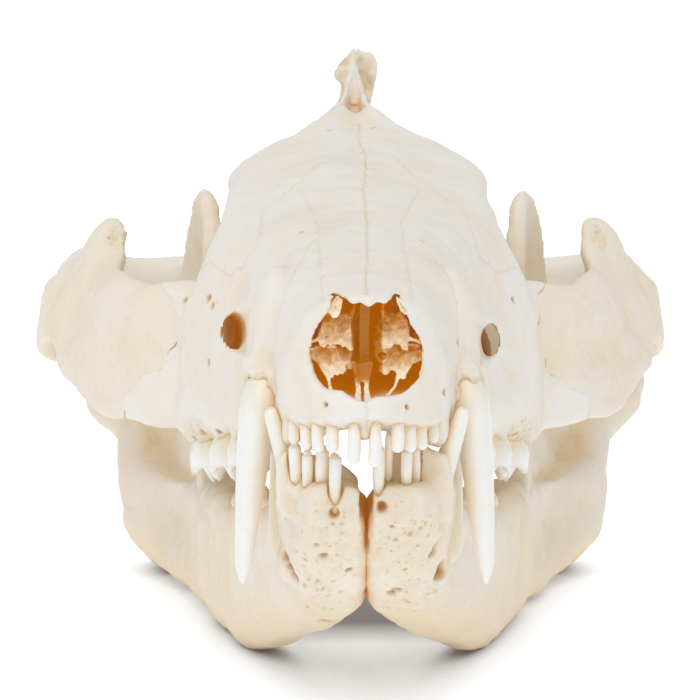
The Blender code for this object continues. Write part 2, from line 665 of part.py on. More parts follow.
def jaw_body_ring(row):
    y, inner, outer, top, bottom = row
    width, height = outer - inner, top - bottom
    lip = min(0.9, width / 4)
    flat = 0.18
    profile = ((inner, bottom + height * 0.2), (inner, top - lip), (inner + lip, top), (outer - lip, top),
               (outer - lip * 0.3, top - lip), (outer, bottom + height * 0.45),
               (outer - width * 0.12, bottom + height * 0.15), (outer - width * (0.5 - flat), bottom),
               (inner + width * (0.5 - flat), bottom))
    return [spot(x, y, z) for x, z in profile]


def jaw_plate_ring(row):
    y, top, bottom, top_x, middle_x, bottom_x, half = row
    height = top - bottom
    line = [(bottom_x, bottom), (middle_x, bottom + height * 0.4), (middle_x, bottom + height * 0.7),
            (top_x, top - 0.6)]
    outside = [(x + half, z) for x, z in line]
    inside = [(x - half, z) for x, z in reversed(line)]
    return [spot(x, y, z) for x, z in outside + [(top_x, top)] + inside]


def jaw_angle_ring(row):
    x, y, top, bottom, half = row
    return [spot(x, y - half, bottom + 0.4), spot(x, y - half * 0.6, bottom), spot(x, y + half * 0.6, bottom),
            spot(x, y + half, bottom + 0.4), spot(x, y + half * 0.6, top), spot(x, y - half * 0.6, top)]


def lower_teeth(side):
    teeth = []
    for tip in LOWER_INCISORS[side]:
        teeth.append(incisor("tooth", tip, LOWER_INCISOR_WIDTH, -LOWER_INCISOR_ROOT, side))
    teeth.append(canine_body("tooth", LOWER_CANINE_PATH, LOWER_CANINE_HALF_WIDTHS, side))
    for x, y, half_width, half_length, top in LOWER_CHEEK_TEETH:
        crown = 3.2
        levels = ((top - crown - LOWER_ROOT, 0.7), (top - crown, 0.85), (top - crown * 0.5, 1.0), (top, 0.72))
        teeth.append(cheek_tooth("tooth", (x, y), half_width, half_length, False, levels, side))
    return teeth


def build_lower_jaw(name, side, surface):
    body = loft(name, [jaw_body_ring(row) for row in JAW_BODY_ROWS])
    blocks = [loft("plate", [jaw_plate_ring(row) for row in JAW_PLATE_ROWS]),
              loft("angle", [jaw_angle_ring(row) for row in JAW_ANGLE_ROWS]),
              peg("neck", *JAW_NECK),
              peg("neck", *JAW_NECK_TOP),
              peg("condyle", *JAW_CONDYLE)]
    combine(body, blocks, "UNION")
    body = on_side(body, side)
    combine(body, lower_teeth(side), "UNION")
    tidy_mesh(turned_jaw(body), surface)


def main():
    clear_scene()
    bone = make_material("bone", BONE_COLOR, BONE_ROUGHNESS)
    enamel = make_material("tooth", TOOTH_COLOR, TOOTH_ROUGHNESS)
    arches = {side: cheek_arch(side) for side in (-1, 1)}
    build_cranium(arches, bone)
    for side, word in ((-1, "left"), (1, "right")):
        tidy_mesh(on_side(cheek_bone(arches[side], "zygoma_" + word), side), bone)
        bpy.data.objects.remove(arches[side], do_unlink=True)
        tooth = canine_body("upper_canine_" + word, CANINE_PATH, CANINE_HALF_WIDTHS, side)
        tidy_mesh(tooth, enamel)
        build_lower_jaw("mandible_" + word, side, bone)


main()
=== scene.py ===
"""Look of the skull of an old male opossum that rests on its lower jaw.

Places are in millimetres: x (minus towards the left of a viewer who faces the nose), y (back
from the front of the nose) and z (up from the floor).  Left and right are the viewer's.
"""

import math

import bmesh
import bpy
import numpy as np
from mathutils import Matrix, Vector, noise
from mathutils.bvhtree import BVHTree
from mathutils.kdtree import KDTree


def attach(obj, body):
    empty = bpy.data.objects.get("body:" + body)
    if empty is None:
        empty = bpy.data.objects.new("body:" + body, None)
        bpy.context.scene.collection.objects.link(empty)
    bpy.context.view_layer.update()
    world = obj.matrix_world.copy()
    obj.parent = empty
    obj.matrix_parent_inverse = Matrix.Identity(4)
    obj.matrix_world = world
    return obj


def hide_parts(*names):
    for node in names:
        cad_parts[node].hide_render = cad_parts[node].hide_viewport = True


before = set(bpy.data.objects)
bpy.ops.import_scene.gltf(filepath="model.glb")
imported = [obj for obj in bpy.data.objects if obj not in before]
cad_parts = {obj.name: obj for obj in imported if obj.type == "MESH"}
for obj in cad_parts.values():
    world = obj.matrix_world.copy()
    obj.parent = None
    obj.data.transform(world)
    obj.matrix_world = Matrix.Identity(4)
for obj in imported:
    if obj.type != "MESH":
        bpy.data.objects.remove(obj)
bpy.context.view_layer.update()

MM = 0.001
SIDES = ((-1, "left"), (1, "right"))
ORIGIN = np.array((-0.55, 63.5, 0.0))
BONE_GRAIN = 0.28
FACE_LIMIT = 194000
# Seams and ragged edges wander by noise_vector, which follows the clock unless it is seeded.
NOISE_SEED = 7
noise.seed_set(NOISE_SEED)

# Sizes of the bones

# Cranium sections from the nose back: y, roof height, then x and z of the roof edge, the side
# wall, the cheek and the gum, and last the height of the palate or skull base in the middle.
CRANIUM_ROWS = (
    (0.6, 42.0, (5.0, 40.6), (6.9, 36.4), (7.4, 33.0), (6.8, 30.3), 31.1),
    (6.0, 42.7, (5.7, 41.2), (7.8, 37.0), (8.1, 33.2), (7.5, 29.6), 29.5),
    (11.0, 43.3, (6.4, 41.8), (8.7, 37.8), (8.9, 33.8), (7.6, 30.0), 29.2),
    (15.5, 43.9, (6.9, 42.4), (9.5, 37.8), (11.0, 32.8), (10.4, 29.8), 29.2),
    (20.5, 44.5, (7.2, 42.8), (9.8, 37.8), (10.9, 32.4), (10.0, 28.0), 28.6),
    (27.0, 45.2, (7.9, 43.2), (10.6, 37.6), (11.3, 31.8), (10.2, 26.2), 27.4),
    (34.0, 46.1, (9.0, 43.8), (12.0, 37.6), (12.9, 31.0), (11.8, 24.9), 26.2),
    (41.0, 46.9, (10.4, 44.2), (14.2, 37.8), (15.4, 30.0), (13.8, 23.3), 25.0),
    (47.0, 47.8, (11.6, 44.6), (16.6, 38.2), (18.2, 29.4), (16.3, 21.6), 23.8),
    (52.0, 48.5, (12.5, 45.2), (14.9, 39.5), (17.6, 28.0), (16.9, 20.6), 22.8),
    (57.0, 49.1, (12.9, 46.0), (12.6, 38.5), (14.4, 26.5), (14.2, 20.6), 21.8),
    (62.0, 49.6, (13.1, 46.6), (10.4, 38.5), (9.5, 28.5), (9.6, 20.4), 20.8),
    (66.5, 50.1, (13.3, 47.4), (8.8, 39.5), (6.6, 29.5), (7.2, 19.9), 19.9),
    (72.0, 50.6, (9.9, 49.2), (6.9, 41.5), (5.5, 30.0), (6.0, 19.6), 19.2),
    (78.0, 51.3, (5.2, 51.2), (5.6, 43.0), (5.5, 31.5), (5.4, 21.0), 19.0),
    (84.0, 51.9, (2.0, 52.3), (5.0, 44.0), (7.6, 33.0), (6.4, 21.2), 18.7),
    (90.0, 48.5, (4.2, 46.2), (8.2, 41.0), (10.8, 31.0), (9.0, 20.4), 18.3),
    (98.0, 46.5, (5.2, 45.0), (10.6, 39.0), (14.0, 29.5), (12.5, 19.5), 17.8),
    (106.0, 46.0, (5.4, 44.6), (11.4, 38.5), (15.6, 28.5), (14.6, 18.8), 17.2),
    (114.0, 45.4, (5.6, 43.8), (12.0, 37.5), (16.4, 27.5), (15.0, 17.8), 16.6),
    (120.5, 43.5, (5.0, 42.0), (11.5, 36.0), (15.5, 26.5), (11.5, 16.8), 16.2),
)
FACE_BOW = 0.13
FACE_LEAN = 0.22
FACE_LEVEL = 30.0
FACE_FADE = 16.0
FACE_CENTRE = np.array((0.0, 36.0))
FACE_SCALES = (0.12, 0.3, 0.5, 0.7, 0.88)

# Crest along the top: y, top height, foot height, half thickness at the top and the foot.
SAGITTAL_CREST = (
    (81.0, 51.4, 46.0, 1.9, 2.2),
    (84.0, 51.8, 43.5, 1.6, 2.0),
    (88.0, 52.0, 42.5, 1.2, 1.9),
    (92.0, 52.4, 42.5, 0.7, 1.7),
    (98.0, 53.0, 42.5, 0.4, 1.6),
    (105.0, 53.9, 42.0, 0.35, 1.7),
    (112.0, 54.8, 41.6, 0.35, 1.8),
    (118.0, 55.6, 41.0, 0.4, 2.0),
    (122.0, 55.9, 40.0, 0.6, 2.2),
    (125.4, 54.4, 41.0, 0.7, 2.0),
)
# Top of the ridge that runs from the brow over the roof and up to the crest, one on each side.
TEMPLE_RIDGES = {
    -1: ((-13.0, 66.0, 47.2), (-12.3, 68.0, 48.0), (-10.1, 71.5, 49.2), (-8.2, 74.0, 50.2),
         (-6.1, 76.5, 51.2), (-4.5, 78.5, 52.0), (-3.2, 80.5, 52.7), (-2.1, 83.0, 53.4), (-1.6, 87.0, 53.6),
         (-1.2, 92.0, 53.9), (-0.9, 98.0, 54.4), (-0.5, 105.0, 55.1), (-0.2, 112.0, 55.6),
         (0.1, 117.0, 56.0)),
    1: ((13.3, 66.0, 46.8), (12.8, 68.0, 47.5), (10.9, 71.0, 48.6), (8.9, 73.5, 49.4), (6.8, 76.0, 50.3),
        (4.7, 78.5, 51.2), (3.0, 80.5, 52.1), (1.8, 83.0, 52.9), (1.3, 87.0, 53.3), (1.05, 92.0, 53.7),
        (0.8, 98.0, 54.2), (0.55, 105.0, 54.9), (0.3, 112.0, 55.5), (0.2, 117.0, 56.0)),
}
TEMPLE_RIDGE_WIDTHS = (0.4, 0.5, 0.6, 0.65, 0.65, 0.6, 0.58, 0.58, 0.58, 0.54, 0.48, 0.42, 0.38, 0.36)
TEMPLE_RIDGE_TALLNESS = 2.6
# Flared flakes at the back end of the crest, seen from the front (x, z), with their depth y.
CREST_FLAKES = (
    (((0.5, 56.3), (1.0, 56.6), (1.8, 56.5), (2.4, 56.3), (2.95, 55.6), (3.1, 54.6), (3.0, 53.6),
      (2.75, 52.2), (2.6, 51.2), (2.25, 50.0), (1.9, 47.5), (0.4, 47.5)), 121.6, 1.0),
    (((0.5, 56.6), (-0.7, 56.2), (-1.3, 55.7), (-1.7, 55.3), (-2.1, 54.6), (-2.3, 54.0), (-2.1, 53.4),
      (-1.5, 52.9), (-1.4, 52.1), (-1.45, 51.4), (-1.7, 50.8), (-2.1, 50.0), (-2.4, 48.0), (0.5, 48.0)),
      119.6, 1.0),
    (((0.4, 56.0), (-0.5, 55.3), (-1.1, 54.4), (-1.2, 53.4), (-0.9, 52.6), (-0.8, 50.0), (0.4, 50.0)),
      118.4, 1.0),
)
CREST_GRAIN = 0.15
NUCHAL_CREST = (
    (0.3, 125.6, 54.6, 5.0),
    (1.8, 125.9, 50.6, 5.0),
    (4.4, 125.8, 46.8, 5.6),
    (8.6, 124.4, 44.2, 6.5),
    (12.8, 122.2, 41.0, 7.0),
    (15.8, 119.4, 35.6, 7.0),
    (18.0, 115.8, 28.6, 6.5),
    (18.4, 111.0, 22.0, 6.0),
)
NUCHAL_CENTRE = np.array((0.0, 113.0, 31.0))
NUCHAL_THICKNESS = 1.8

# Cheek arch: x and y of its outer face, top and bottom heights, thickness, inward lean.
ARCH_ROWS = (
    (15.0, 44.0, 37.3, 25.0, 6.0, 1.0),
    (20.4, 50.5, 37.4, 22.2, 5.6, 2.0),
    (24.6, 55.5, 36.4, 22.4, 4.4, 1.8),
    (27.9, 62.0, 37.0, 22.8, 3.4, 2.6),
    (30.0, 68.5, 37.3, 24.4, 3.0, 4.6),
    (30.8, 72.8, 38.3, 25.9, 3.2, 5.8),
    (31.4, 75.6, 40.4, 26.7, 3.5, 6.2),
    (32.0, 77.8, 41.1, 27.1, 3.6, 6.2),
    (32.6, 79.8, 40.4, 27.4, 3.4, 5.8),
    (33.2, 81.6, 37.6, 27.2, 3.0, 4.4),
    (34.0, 84.0, 35.4, 26.8, 2.8, 2.4),
    (35.1, 89.0, 33.6, 25.2, 3.0, 1.4),
    (34.7, 94.5, 33.6, 23.2, 3.4, 0.8),
    (31.6, 99.2, 35.8, 22.7, 4.2, 0.4),
    (26.0, 102.2, 34.5, 22.6, 5.0, 0.0),
    (19.0, 103.4, 34.5, 21.5, 6.0, 0.0),
    (11.0, 103.6, 35.8, 21.0, 6.0, 0.0),
)
ARCH_PROFILE = ((0.0, 0.30), (0.04, 0.50), (0.0, 0.70), (0.14, 0.92), (0.5, 1.0), (0.86, 0.92),
                (1.0, 0.62), (1.0, 0.30), (0.85, 0.07), (0.5, 0.0), (0.10, 0.06))
ARCH_SPREAD = {-1: 0.6, 1: -0.5}
ARCH_SPREAD_START = 45.0
ARCH_SPREAD_RUN = 47.0
SUTURE_GAP = -0.5
# Seam between snout and cheek bone seen from the front (x, z), top to bottom, each side.
CHEEK_SEAM = {
    -1: ((19.0, 46.0), (19.4, 37.8), (20.4, 36.6), (18.9, 35.6), (18.2, 33.4), (18.5, 31.6), (19.6, 30.3),
         (20.3, 28.6), (22.0, 27.6), (22.9, 26.2), (24.4, 25.2), (24.6, 15.0)),
    1: ((19.0, 46.0), (20.0, 37.6), (19.0, 36.6), (17.9, 36.0), (18.4, 34.2), (17.9, 31.8), (18.9, 29.9),
        (19.2, 28.4), (20.8, 27.3), (21.6, 26.2), (23.6, 25.3), (23.8, 15.0)),
}
# Seam between cheek bone and temple seen from the side (y, z), front to back.
TEMPLE_SEAM = ((70.0, 50.0), (81.0, 42.6), (82.6, 39.4), (84.0, 37.2), (86.4, 34.4), (90.0, 31.4),
               (94.0, 27.6), (98.0, 24.8), (101.0, 21.6), (107.0, 17.0))

FORAMEN_MAGNUM = ((0.0, 124.0, 24.6), (4.8, 13.0, 4.2))
OCCIPITAL_CONDYLE = ((5.6, 122.6, 20.2), (3.1, 3.9, 4.3))
EAR_BULGE = ((11.2, 102.0, 17.8), (3.2, 4.4, 2.8))
CHOANA = ((0.0, 80.0, 19.2), (3.9, 8.0, 3.6))
ROOT_SWELLING = ((8.1, 19.4, 36.6), (2.5, 5.2, 6.4))
# Bony spurs of the base: start, end, start radius, end radius.
SPURS = (
    ((16.2, 112.5, 25.0), (15.4, 113.5, 15.0), 4.2, 2.0),
    ((11.5, 117.5, 20.0), (11.8, 118.0, 12.6), 3.0, 1.4),
    ((23.0, 103.4, 24.5), (22.4, 103.2, 17.2), 3.0, 1.2),
    ((4.8, 76.0, 20.5), (5.2, 84.0, 14.6), 2.2, 0.7),
)
PALATE_WINDOWS = (
    ((3.4, 38.0, 24.6), (3.6, 50.0, 22.4), 1.2),
    ((1.9, 8.5, 28.4), (2.0, 13.5, 28.2), 0.9),
)
EYE_SIDE_CANAL = {
    -1: ((10.9, 27.0, 35.9), (12.1, 33.5, 34.8), (13.0, 40.0, 33.6), (14.5, 48.0, 32.2), (15.9, 57.0, 30.8)),
    1: ((11.2, 27.0, 34.6), (12.3, 33.5, 33.9), (12.8, 40.0, 33.0), (13.3, 48.0, 32.0), (13.8, 57.0, 31.0)),
}
EYE_SIDE_CANAL_SIZE = {-1: (1.1, 2.0), 1: (0.95, 1.8)}

# Edge of the nose opening (x, z), from the top left round by the right.
NOSE_EDGE = (
    (-3.0, 41.6), (-2.0, 41.9), (-1.2, 41.3), (-0.5, 41.5), (0.1, 41.1), (0.7, 41.4), (1.1, 41.6),
    (1.6, 41.3), (2.2, 41.7), (2.8, 41.8), (3.5, 40.7), (3.6, 40.3), (3.8, 39.3), (4.6, 38.1), (5.0, 36.6),
    (4.9, 35.7), (4.5, 34.5), (3.8, 33.8), (3.0, 33.3), (1.7, 33.3), (0.6, 33.1), (-0.2, 32.8), (-1.4, 33.1),
    (-2.4, 33.5), (-3.5, 33.5), (-4.3, 34.1), (-4.9, 35.0), (-5.2, 36.3), (-4.9, 37.9), (-4.3, 39.1),
    (-3.5, 40.4),
)
NOSE_CENTRE = np.array((0.0, 37.2))
# How deep behind its edge the nose opening widens, and by how much.
NOSE_DEPTHS = ((-3.0, 1.0), (0.4, 1.0), (1.4, 1.06), (4.0, 1.15), (9.0, 1.16), (12.5, 1.1), (14.5, 0.9))

# Lower jaw

# Body of one side: y, inner and outer x, top and bottom heights.
JAW_BODY_ROWS = (
    (5.3, 0.45, 5.1, 24.5, 21.0),
    (8.5, 0.2, 6.7, 24.5, 17.6),
    (12.0, -0.1, 7.2, 23.2, 14.4),
    (17.0, -0.1, 7.6, 21.0, 11.4),
    (23.0, 0.2, 8.0, 19.6, 8.6),
    (28.0, 1.0, 8.7, 18.8, 6.8),
    (34.0, 3.0, 10.3, 17.7, 4.4),
    (41.0, 5.4, 12.5, 16.6, 1.9),
    (47.0, 7.4, 14.3, 15.7, 0.0),
    (50.0, 8.4, 15.0, 15.5, 0.0),
    (57.0, 10.8, 16.8, 15.6, 0.2),
    (64.0, 13.2, 18.2, 14.8, 0.6),
    (72.0, 15.8, 20.2, 13.4, 0.8),
    (80.0, 18.0, 22.8, 12.6, 1.0),
    (88.0, 20.2, 26.4, 12.8, 1.6),
    (92.5, 22.2, 27.8, 14.0, 4.4),
)
# Upright plate: y, top and bottom heights, x at the top, middle and bottom, half thickness.
JAW_PLATE_ROWS = (
    (61.0, 13.5, 6.0, 15.7, 15.7, 15.6, 1.5),
    (66.0, 24.0, 6.0, 16.0, 16.3, 16.8, 1.5),
    (70.0, 33.5, 6.0, 16.2, 16.5, 17.6, 1.3),
    (74.0, 40.5, 6.0, 16.4, 16.7, 18.6, 1.1),
    (77.5, 43.9, 6.0, 17.0, 17.0, 19.6, 0.9),
    (81.5, 43.6, 6.0, 17.9, 17.6, 21.0, 0.9),
    (85.5, 39.0, 6.0, 18.9, 18.6, 22.2, 1.0),
    (89.0, 29.0, 6.0, 20.4, 20.2, 23.8, 1.2),
    (93.0, 22.5, 7.0, 22.6, 22.6, 25.4, 1.5),
    (97.0, 20.0, 12.0, 25.0, 25.0, 25.6, 1.7),
)
JAW_CONDYLE = ((22.4, 97.4, 20.2), (32.2, 97.8, 20.1), 2.4, 2.3)
JAW_NECKS = (
    ((25.2, 90.0, 9.5), (25.8, 95.8, 15.8), 2.2, 2.6),
    ((25.2, 95.0, 14.6), (30.4, 97.8, 20.0), 2.5, 3.0),
)
# Ragged wall of bone behind the lower front teeth, seen from the front (x, z).
TOOTH_WALLS = {
    -1: ((-8.4, 22.0), (-8.3, 26.0), (-7.4, 27.1), (-6.6, 26.6), (-6.0, 26.9), (-5.4, 26.5), (-4.9, 26.6),
         (-4.2, 26.2), (-3.3, 26.3), (-2.6, 25.9), (-2.2, 25.5), (-1.5, 24.9), (-0.7, 24.2), (-0.7, 22.4),
         (-7.6, 20.4)),
    1: ((0.7, 24.3), (1.2, 24.9), (1.7, 26.2), (2.3, 27.3), (3.1, 27.0), (3.7, 27.6), (4.4, 27.2),
        (5.2, 27.5), (6.2, 27.0), (7.4, 26.8), (8.0, 24.0), (7.8, 20.4), (0.7, 22.4)),
}
TOOTH_WALL_DEPTH = (8.4, 1.5)
# Edge of the palate beside the last upper front tooth: ends, half thicknesses.
OUTER_WALL = ((6.6, 9.2, 29.6), (7.4, 10.4, 26.9), 1.0, 0.8)
# Raised rims of the holes on the sides of the chin: place, half sizes.
CHIN_HOLE_RIMS = {-1: ((-6.9, 15.4, 15.6), (1.7, 1.6, 2.3)), 1: ((6.3, 15.2, 15.2), (1.7, 1.6, 2.4))}
# First tooth behind the lower canine, which stands close to it: tip, root, half widths.
LOWER_FIRST_PREMOLAR = ((8.5, 20.4, 25.6), (7.2, 22.8, 14.0), 0.75, 2.1)
# Inturned corner: x, y, top and bottom heights, half length.
JAW_ANGLE_ROWS = (
    (24.0, 90.0, 6.0, 1.2, 4.5),
    (20.0, 91.5, 3.6, 0.0, 5.0),
    (16.5, 93.5, 2.8, 0.0, 4.4),
    (13.4, 96.5, 3.2, 1.0, 2.4),
    (11.8, 99.0, 4.2, 2.8, 0.9),
)
JAW_TURN = math.radians(0.6)

# Teeth

# Upper incisors of one side: x, y, z of the tip, width, and the height of the root above it.
UPPER_INCISORS = {
    -1: ((1.12, 1.3, 27.15, 1.2, 5.4), (3.08, 2.4, 28.0, 1.18, 4.8), (4.43, 3.8, 27.8, 1.12, 4.6),
         (5.51, 5.4, 27.8, 1.0, 4.4), (6.56, 7.3, 28.0, 1.0, 4.0)),
    1: ((0.77, 1.3, 26.9, 1.2, 5.4), (2.81, 2.4, 28.0, 1.2, 4.8), (3.97, 3.8, 27.8, 1.08, 4.6),
        (5.01, 5.4, 27.75, 1.04, 4.4), (6.16, 7.3, 28.1, 0.96, 4.0)),
}
# Height of the lower edge of the bone at the upper incisors, by y.
FRONT_GUM = ((0.0, 31.3), (2.5, 31.0), (5.0, 30.6), (8.0, 30.3))
LOWER_INCISORS = {
    -1: ((2.9, 5.1, 26.8, 1.16, 5.6), (4.1, 6.3, 27.25, 1.24, 4.8), (5.42, 6.9, 26.75, 1.0, 4.4),
         (6.5, 7.9, 27.35, 1.2, 4.6)),
    1: ((1.08, 5.3, 27.55, 1.14, 5.8), (1.98, 6.5, 28.6, 0.8, 5.4), (3.6, 6.0, 27.25, 1.04, 5.0),
        (4.5, 7.6, 27.1, 0.85, 4.8)),
}
CANINE_PATH = ((7.9, 18.6, 37.0), (8.7, 16.9, 34.2), (9.6, 15.3, 31.4), (9.98, 14.6, 29.4),
               (10.3, 14.3, 26.5), (10.75, 14.2, 22.0), (11.1, 14.5, 18.0), (11.35, 14.9, 15.4),
               (11.42, 15.1, 13.45))
CANINE_HALF_WIDTHS = (0.9, 1.35, 1.74, 1.74, 1.6, 1.32, 1.02, 0.78, 0.2)
CANINE_DEPTH_RATIO = 1.35
LOWER_CANINE_PATH = ((4.9, 16.5, 14.0), (6.0, 13.0, 20.5), (7.1, 11.3, 24.8), (8.2, 10.4, 28.4),
                     (8.75, 10.0, 30.2), (8.95, 9.9, 30.8))
LOWER_CANINE_HALF_WIDTHS = (1.5, 1.3, 1.08, 0.82, 0.66, 0.4)
# Cheek teeth of one side: x, y of the middle, half width, half length, whether it is a molar.
UPPER_CHEEK_TEETH = (
    (9.3, 20.4, 0.8, 1.3, False),
    (9.5, 26.0, 1.2, 2.4, False),
    (10.4, 31.9, 1.5, 2.5, False),
    (11.1, 37.2, 2.2, 2.5, True),
    (12.7, 42.4, 2.5, 2.6, True),
    (14.4, 47.6, 2.7, 2.6, True),
    (15.1, 52.2, 2.4, 1.9, True),
)
LOWER_CHEEK_TEETH = (
    (4.9, 18.6, 0.7, 1.3, False),
    (5.5, 22.8, 0.9, 2.2, False),
    (6.3, 28.0, 1.1, 2.3, False),
    (7.8, 33.2, 1.5, 2.4, True),
    (9.2, 38.5, 1.6, 2.5, True),
    (10.7, 43.9, 1.7, 2.5, True),
    (12.1, 49.2, 1.6, 2.4, True),
)
# Cusps of a crown: place across and along, height, spread.
PREMOLAR_CUSPS = ((0.0, -0.15, 1.0, 0.50), (0.0, 0.75, 0.30, 0.30), (0.0, -0.85, 0.22, 0.25))
UPPER_MOLAR_CUSPS = ((0.05, -0.35, 0.75, 0.30), (0.0, 0.40, 0.95, 0.32), (-0.80, -0.05, 0.55, 0.30),
                     (0.90, -0.70, 0.45, 0.22), (0.85, 0.0, 0.60, 0.25), (0.90, 0.75, 0.50, 0.25))
LOWER_MOLAR_CUSPS = ((0.45, -0.35, 1.0, 0.30), (-0.50, -0.65, 0.60, 0.28), (-0.50, -0.10, 0.65, 0.26),
                     (0.50, 0.45, 0.55, 0.30), (-0.45, 0.65, 0.50, 0.26))


# Building bodies

def placed(points):
    """Millimetre places turned into metres in the frame of the part."""
    return (np.asarray(points, float) - ORIGIN) * MM


def pulled(items, key, width, kind=float):
    """One row of values for each point or edge of a mesh."""
    flat = np.empty(len(items) * width, kind)
    items.foreach_get(key, flat)
    return flat.reshape(-1, width)


def read_points(mesh):
    return pulled(mesh.vertices, "co", 3) / MM + ORIGIN


def write_points(mesh, points):
    mesh.vertices.foreach_set("co", placed(points).ravel())
    mesh.update()


def read_normals(mesh):
    return pulled(mesh.vertex_normals, "vector", 3)


def read_pairs(mesh):
    return pulled(mesh.edges, "vertices", 2, int)


def set_out(name, data):
    """New object with this data, in the scene."""
    item = bpy.data.objects.new(name, data)
    bpy.context.scene.collection.objects.link(item)
    return item


def closed_body(name, points, faces):
    mesh = bpy.data.meshes.new(name)
    mesh.from_pydata(placed(points).tolist(), [], faces)
    shape = bmesh.new()
    shape.from_mesh(mesh)
    if shape.calc_volume(signed=True) < 0:
        bmesh.ops.reverse_faces(shape, faces=shape.faces)
        shape.to_mesh(mesh)
    shape.free()
    return set_out(name, mesh)


def loft(name, rings, flat_ends=False):
    """Closed skin over rings of points, each ring an array of places."""
    rings = np.asarray(rings, float)
    count, around = rings.shape[:2]
    points = list(rings.reshape(-1, 3))
    faces = []
    for i in range(count - 1):
        for k in range(around):
            a, b = i * around + k, i * around + (k + 1) % around
            faces.append((a, b, b + around, a + around))
    last = (count - 1) * around
    if flat_ends:
        faces.append(tuple(range(around - 1, -1, -1)))
        faces.append(tuple(range(last, last + around)))
    else:
        points += [rings[0].mean(axis=0), rings[-1].mean(axis=0)]
        for k in range(around):
            following = (k + 1) % around
            faces.append((following, k, count * around))
            faces.append((last + k, last + following, count * around + 1))
    return closed_body(name, points, faces)


def spline(points, steps, closed=False):
    """Smooth curve through the rows of points."""
    points = np.asarray(points, float)
    if closed:
        padded = np.concatenate([points[-1:], points, points[:2]])
    else:
        padded = np.concatenate([2 * points[:1] - points[1:2], points, 2 * points[-1:] - points[-2:-1]])
    t = np.arange(steps) / steps
    basis = np.stack([-t + 2 * t**2 - t**3, 2 - 5 * t**2 + 3 * t**3,
                      t + 4 * t**2 - 3 * t**3, t**3 - t**2], axis=1) / 2
    spans = np.stack([padded[k:len(padded) - 3 + k] for k in range(4)], axis=1)
    line = np.einsum("tk,sk...->st...", basis, spans)
    line = line.reshape((-1,) + points.shape[1:])
    return line if closed else np.concatenate([line, points[-1:]])


def tube(name, path, half_widths, depth_ratio=1.0, around=24, steps=6, side=1):
    """Round bar along a smooth path, with its own half width at each point."""
    path = spline(np.asarray(path, float) * (side, 1, 1), steps)
    widths = spline(np.asarray(half_widths, float)[:, None], steps)[:, 0]
    turn = np.arange(around) * math.tau / around
    rings = []
    for i, point in enumerate(path):
        ahead = path[min(i + 1, len(path) - 1)] - path[max(i - 1, 0)]
        ahead /= np.linalg.norm(ahead)
        across = np.array((1.0, 0, 0)) if abs(ahead[0]) < 0.8 else np.array((0, 1.0, 0))
        along = np.cross(ahead, across)
        along /= np.linalg.norm(along)
        across = np.cross(along, ahead)
        width = max(widths[i], 0.02)
        rings.append(point + np.outer(np.cos(turn), across) * width
                     + np.outer(np.sin(turn), along) * width * depth_ratio)
    return loft(name, rings)


def spur(name, start, end, start_radius, end_radius, side=1):
    """Short tapering bar with rounded ends."""
    start, end = np.array(start, float), np.array(end, float)
    levels = ((0.0, 0.3, 0), (0.03, 0.8, 0), (0.1, 1.0, 0), (0.7, 0.3, 0.7), (0.93, 0, 0.8), (1.0, 0, 0.3))
    path = [start + (end - start) * t for t, _, _ in levels]
    radii = [start_radius * a + end_radius * b for _, a, b in levels]
    return tube(name, path, radii, around=20, steps=3, side=side)


OVAL_AROUND = 28
OVAL_LEVELS = 18


def oval(name, centre, half_size, side=1):
    centre = np.array(centre, float) * (side, 1, 1)
    turn = np.arange(OVAL_AROUND) * math.tau / OVAL_AROUND
    rings = []
    for k in range(1, OVAL_LEVELS):
        tilt = math.pi * k / OVAL_LEVELS
        ring = np.stack([np.cos(turn) * math.sin(tilt), np.sin(turn) * math.sin(tilt),
                         np.full(OVAL_AROUND, math.cos(tilt))], axis=1)
        rings.append(centre + ring * half_size)
    return loft(name, rings)


def mirrored(rows, side):
    """Rows that begin with a place on the right, carried over to one side."""
    return [((side * x, y, z), *rest) for (x, y, z), *rest in rows]


def cut_or_join(body, others, operation):
    for other in others:
        step = body.modifiers.new("step", "BOOLEAN")
        step.operation = operation
        step.solver = "MANIFOLD"
        step.object = other
        bake(body)
        bpy.data.objects.remove(other, do_unlink=True)
    return body


def bake(body):
    """Turn the modifiers of a body into plain mesh."""
    graph = bpy.context.evaluated_depsgraph_get()
    mesh = bpy.data.meshes.new_from_object(body.evaluated_get(graph))
    body.modifiers.clear()
    old = body.data
    body.data = mesh
    bpy.data.meshes.remove(old)


def gathered(name, bodies):
    """One object that holds the skins of several bodies."""
    shape = bmesh.new()
    for body in bodies:
        shape.from_mesh(body.data)
        bpy.data.objects.remove(body, do_unlink=True)
    mesh = bpy.data.meshes.new(name)
    shape.to_mesh(mesh)
    shape.free()
    return set_out(name, mesh)


def even_skin(body, grain):
    """New skin of small even faces over everything in the body."""
    step = body.modifiers.new("skin", "REMESH")
    step.mode = "VOXEL"
    step.voxel_size = grain * MM
    bake(body)


def eased(points, pairs, rounds, pull=0.5):
    """Points drawn towards the middle of their neighbours."""
    size = len(points)
    near = np.bincount(pairs.ravel(), minlength=size)[:, None]
    for _ in range(rounds):
        total = np.stack([np.bincount(pairs[:, 0], points[pairs[:, 1], axis], size)
                          + np.bincount(pairs[:, 1], points[pairs[:, 0], axis], size)
                          for axis in range(3)], axis=1)
        points = points + pull * (total / near - points)
    return points


def soften(body, rounds):
    """Take off the steps of a new skin and keep its size."""
    points, pairs = read_points(body.data), read_pairs(body.data)
    for _ in range(rounds):
        points = eased(points, pairs, 1, 0.6)
        points = eased(points, pairs, 1, -0.62)
        points = eased(points, pairs, 1, 0.25)
    write_points(body.data, points)


def falloff(distance, radius):
    return np.clip(1 - (distance / radius) ** 2, 0, 1) ** 2


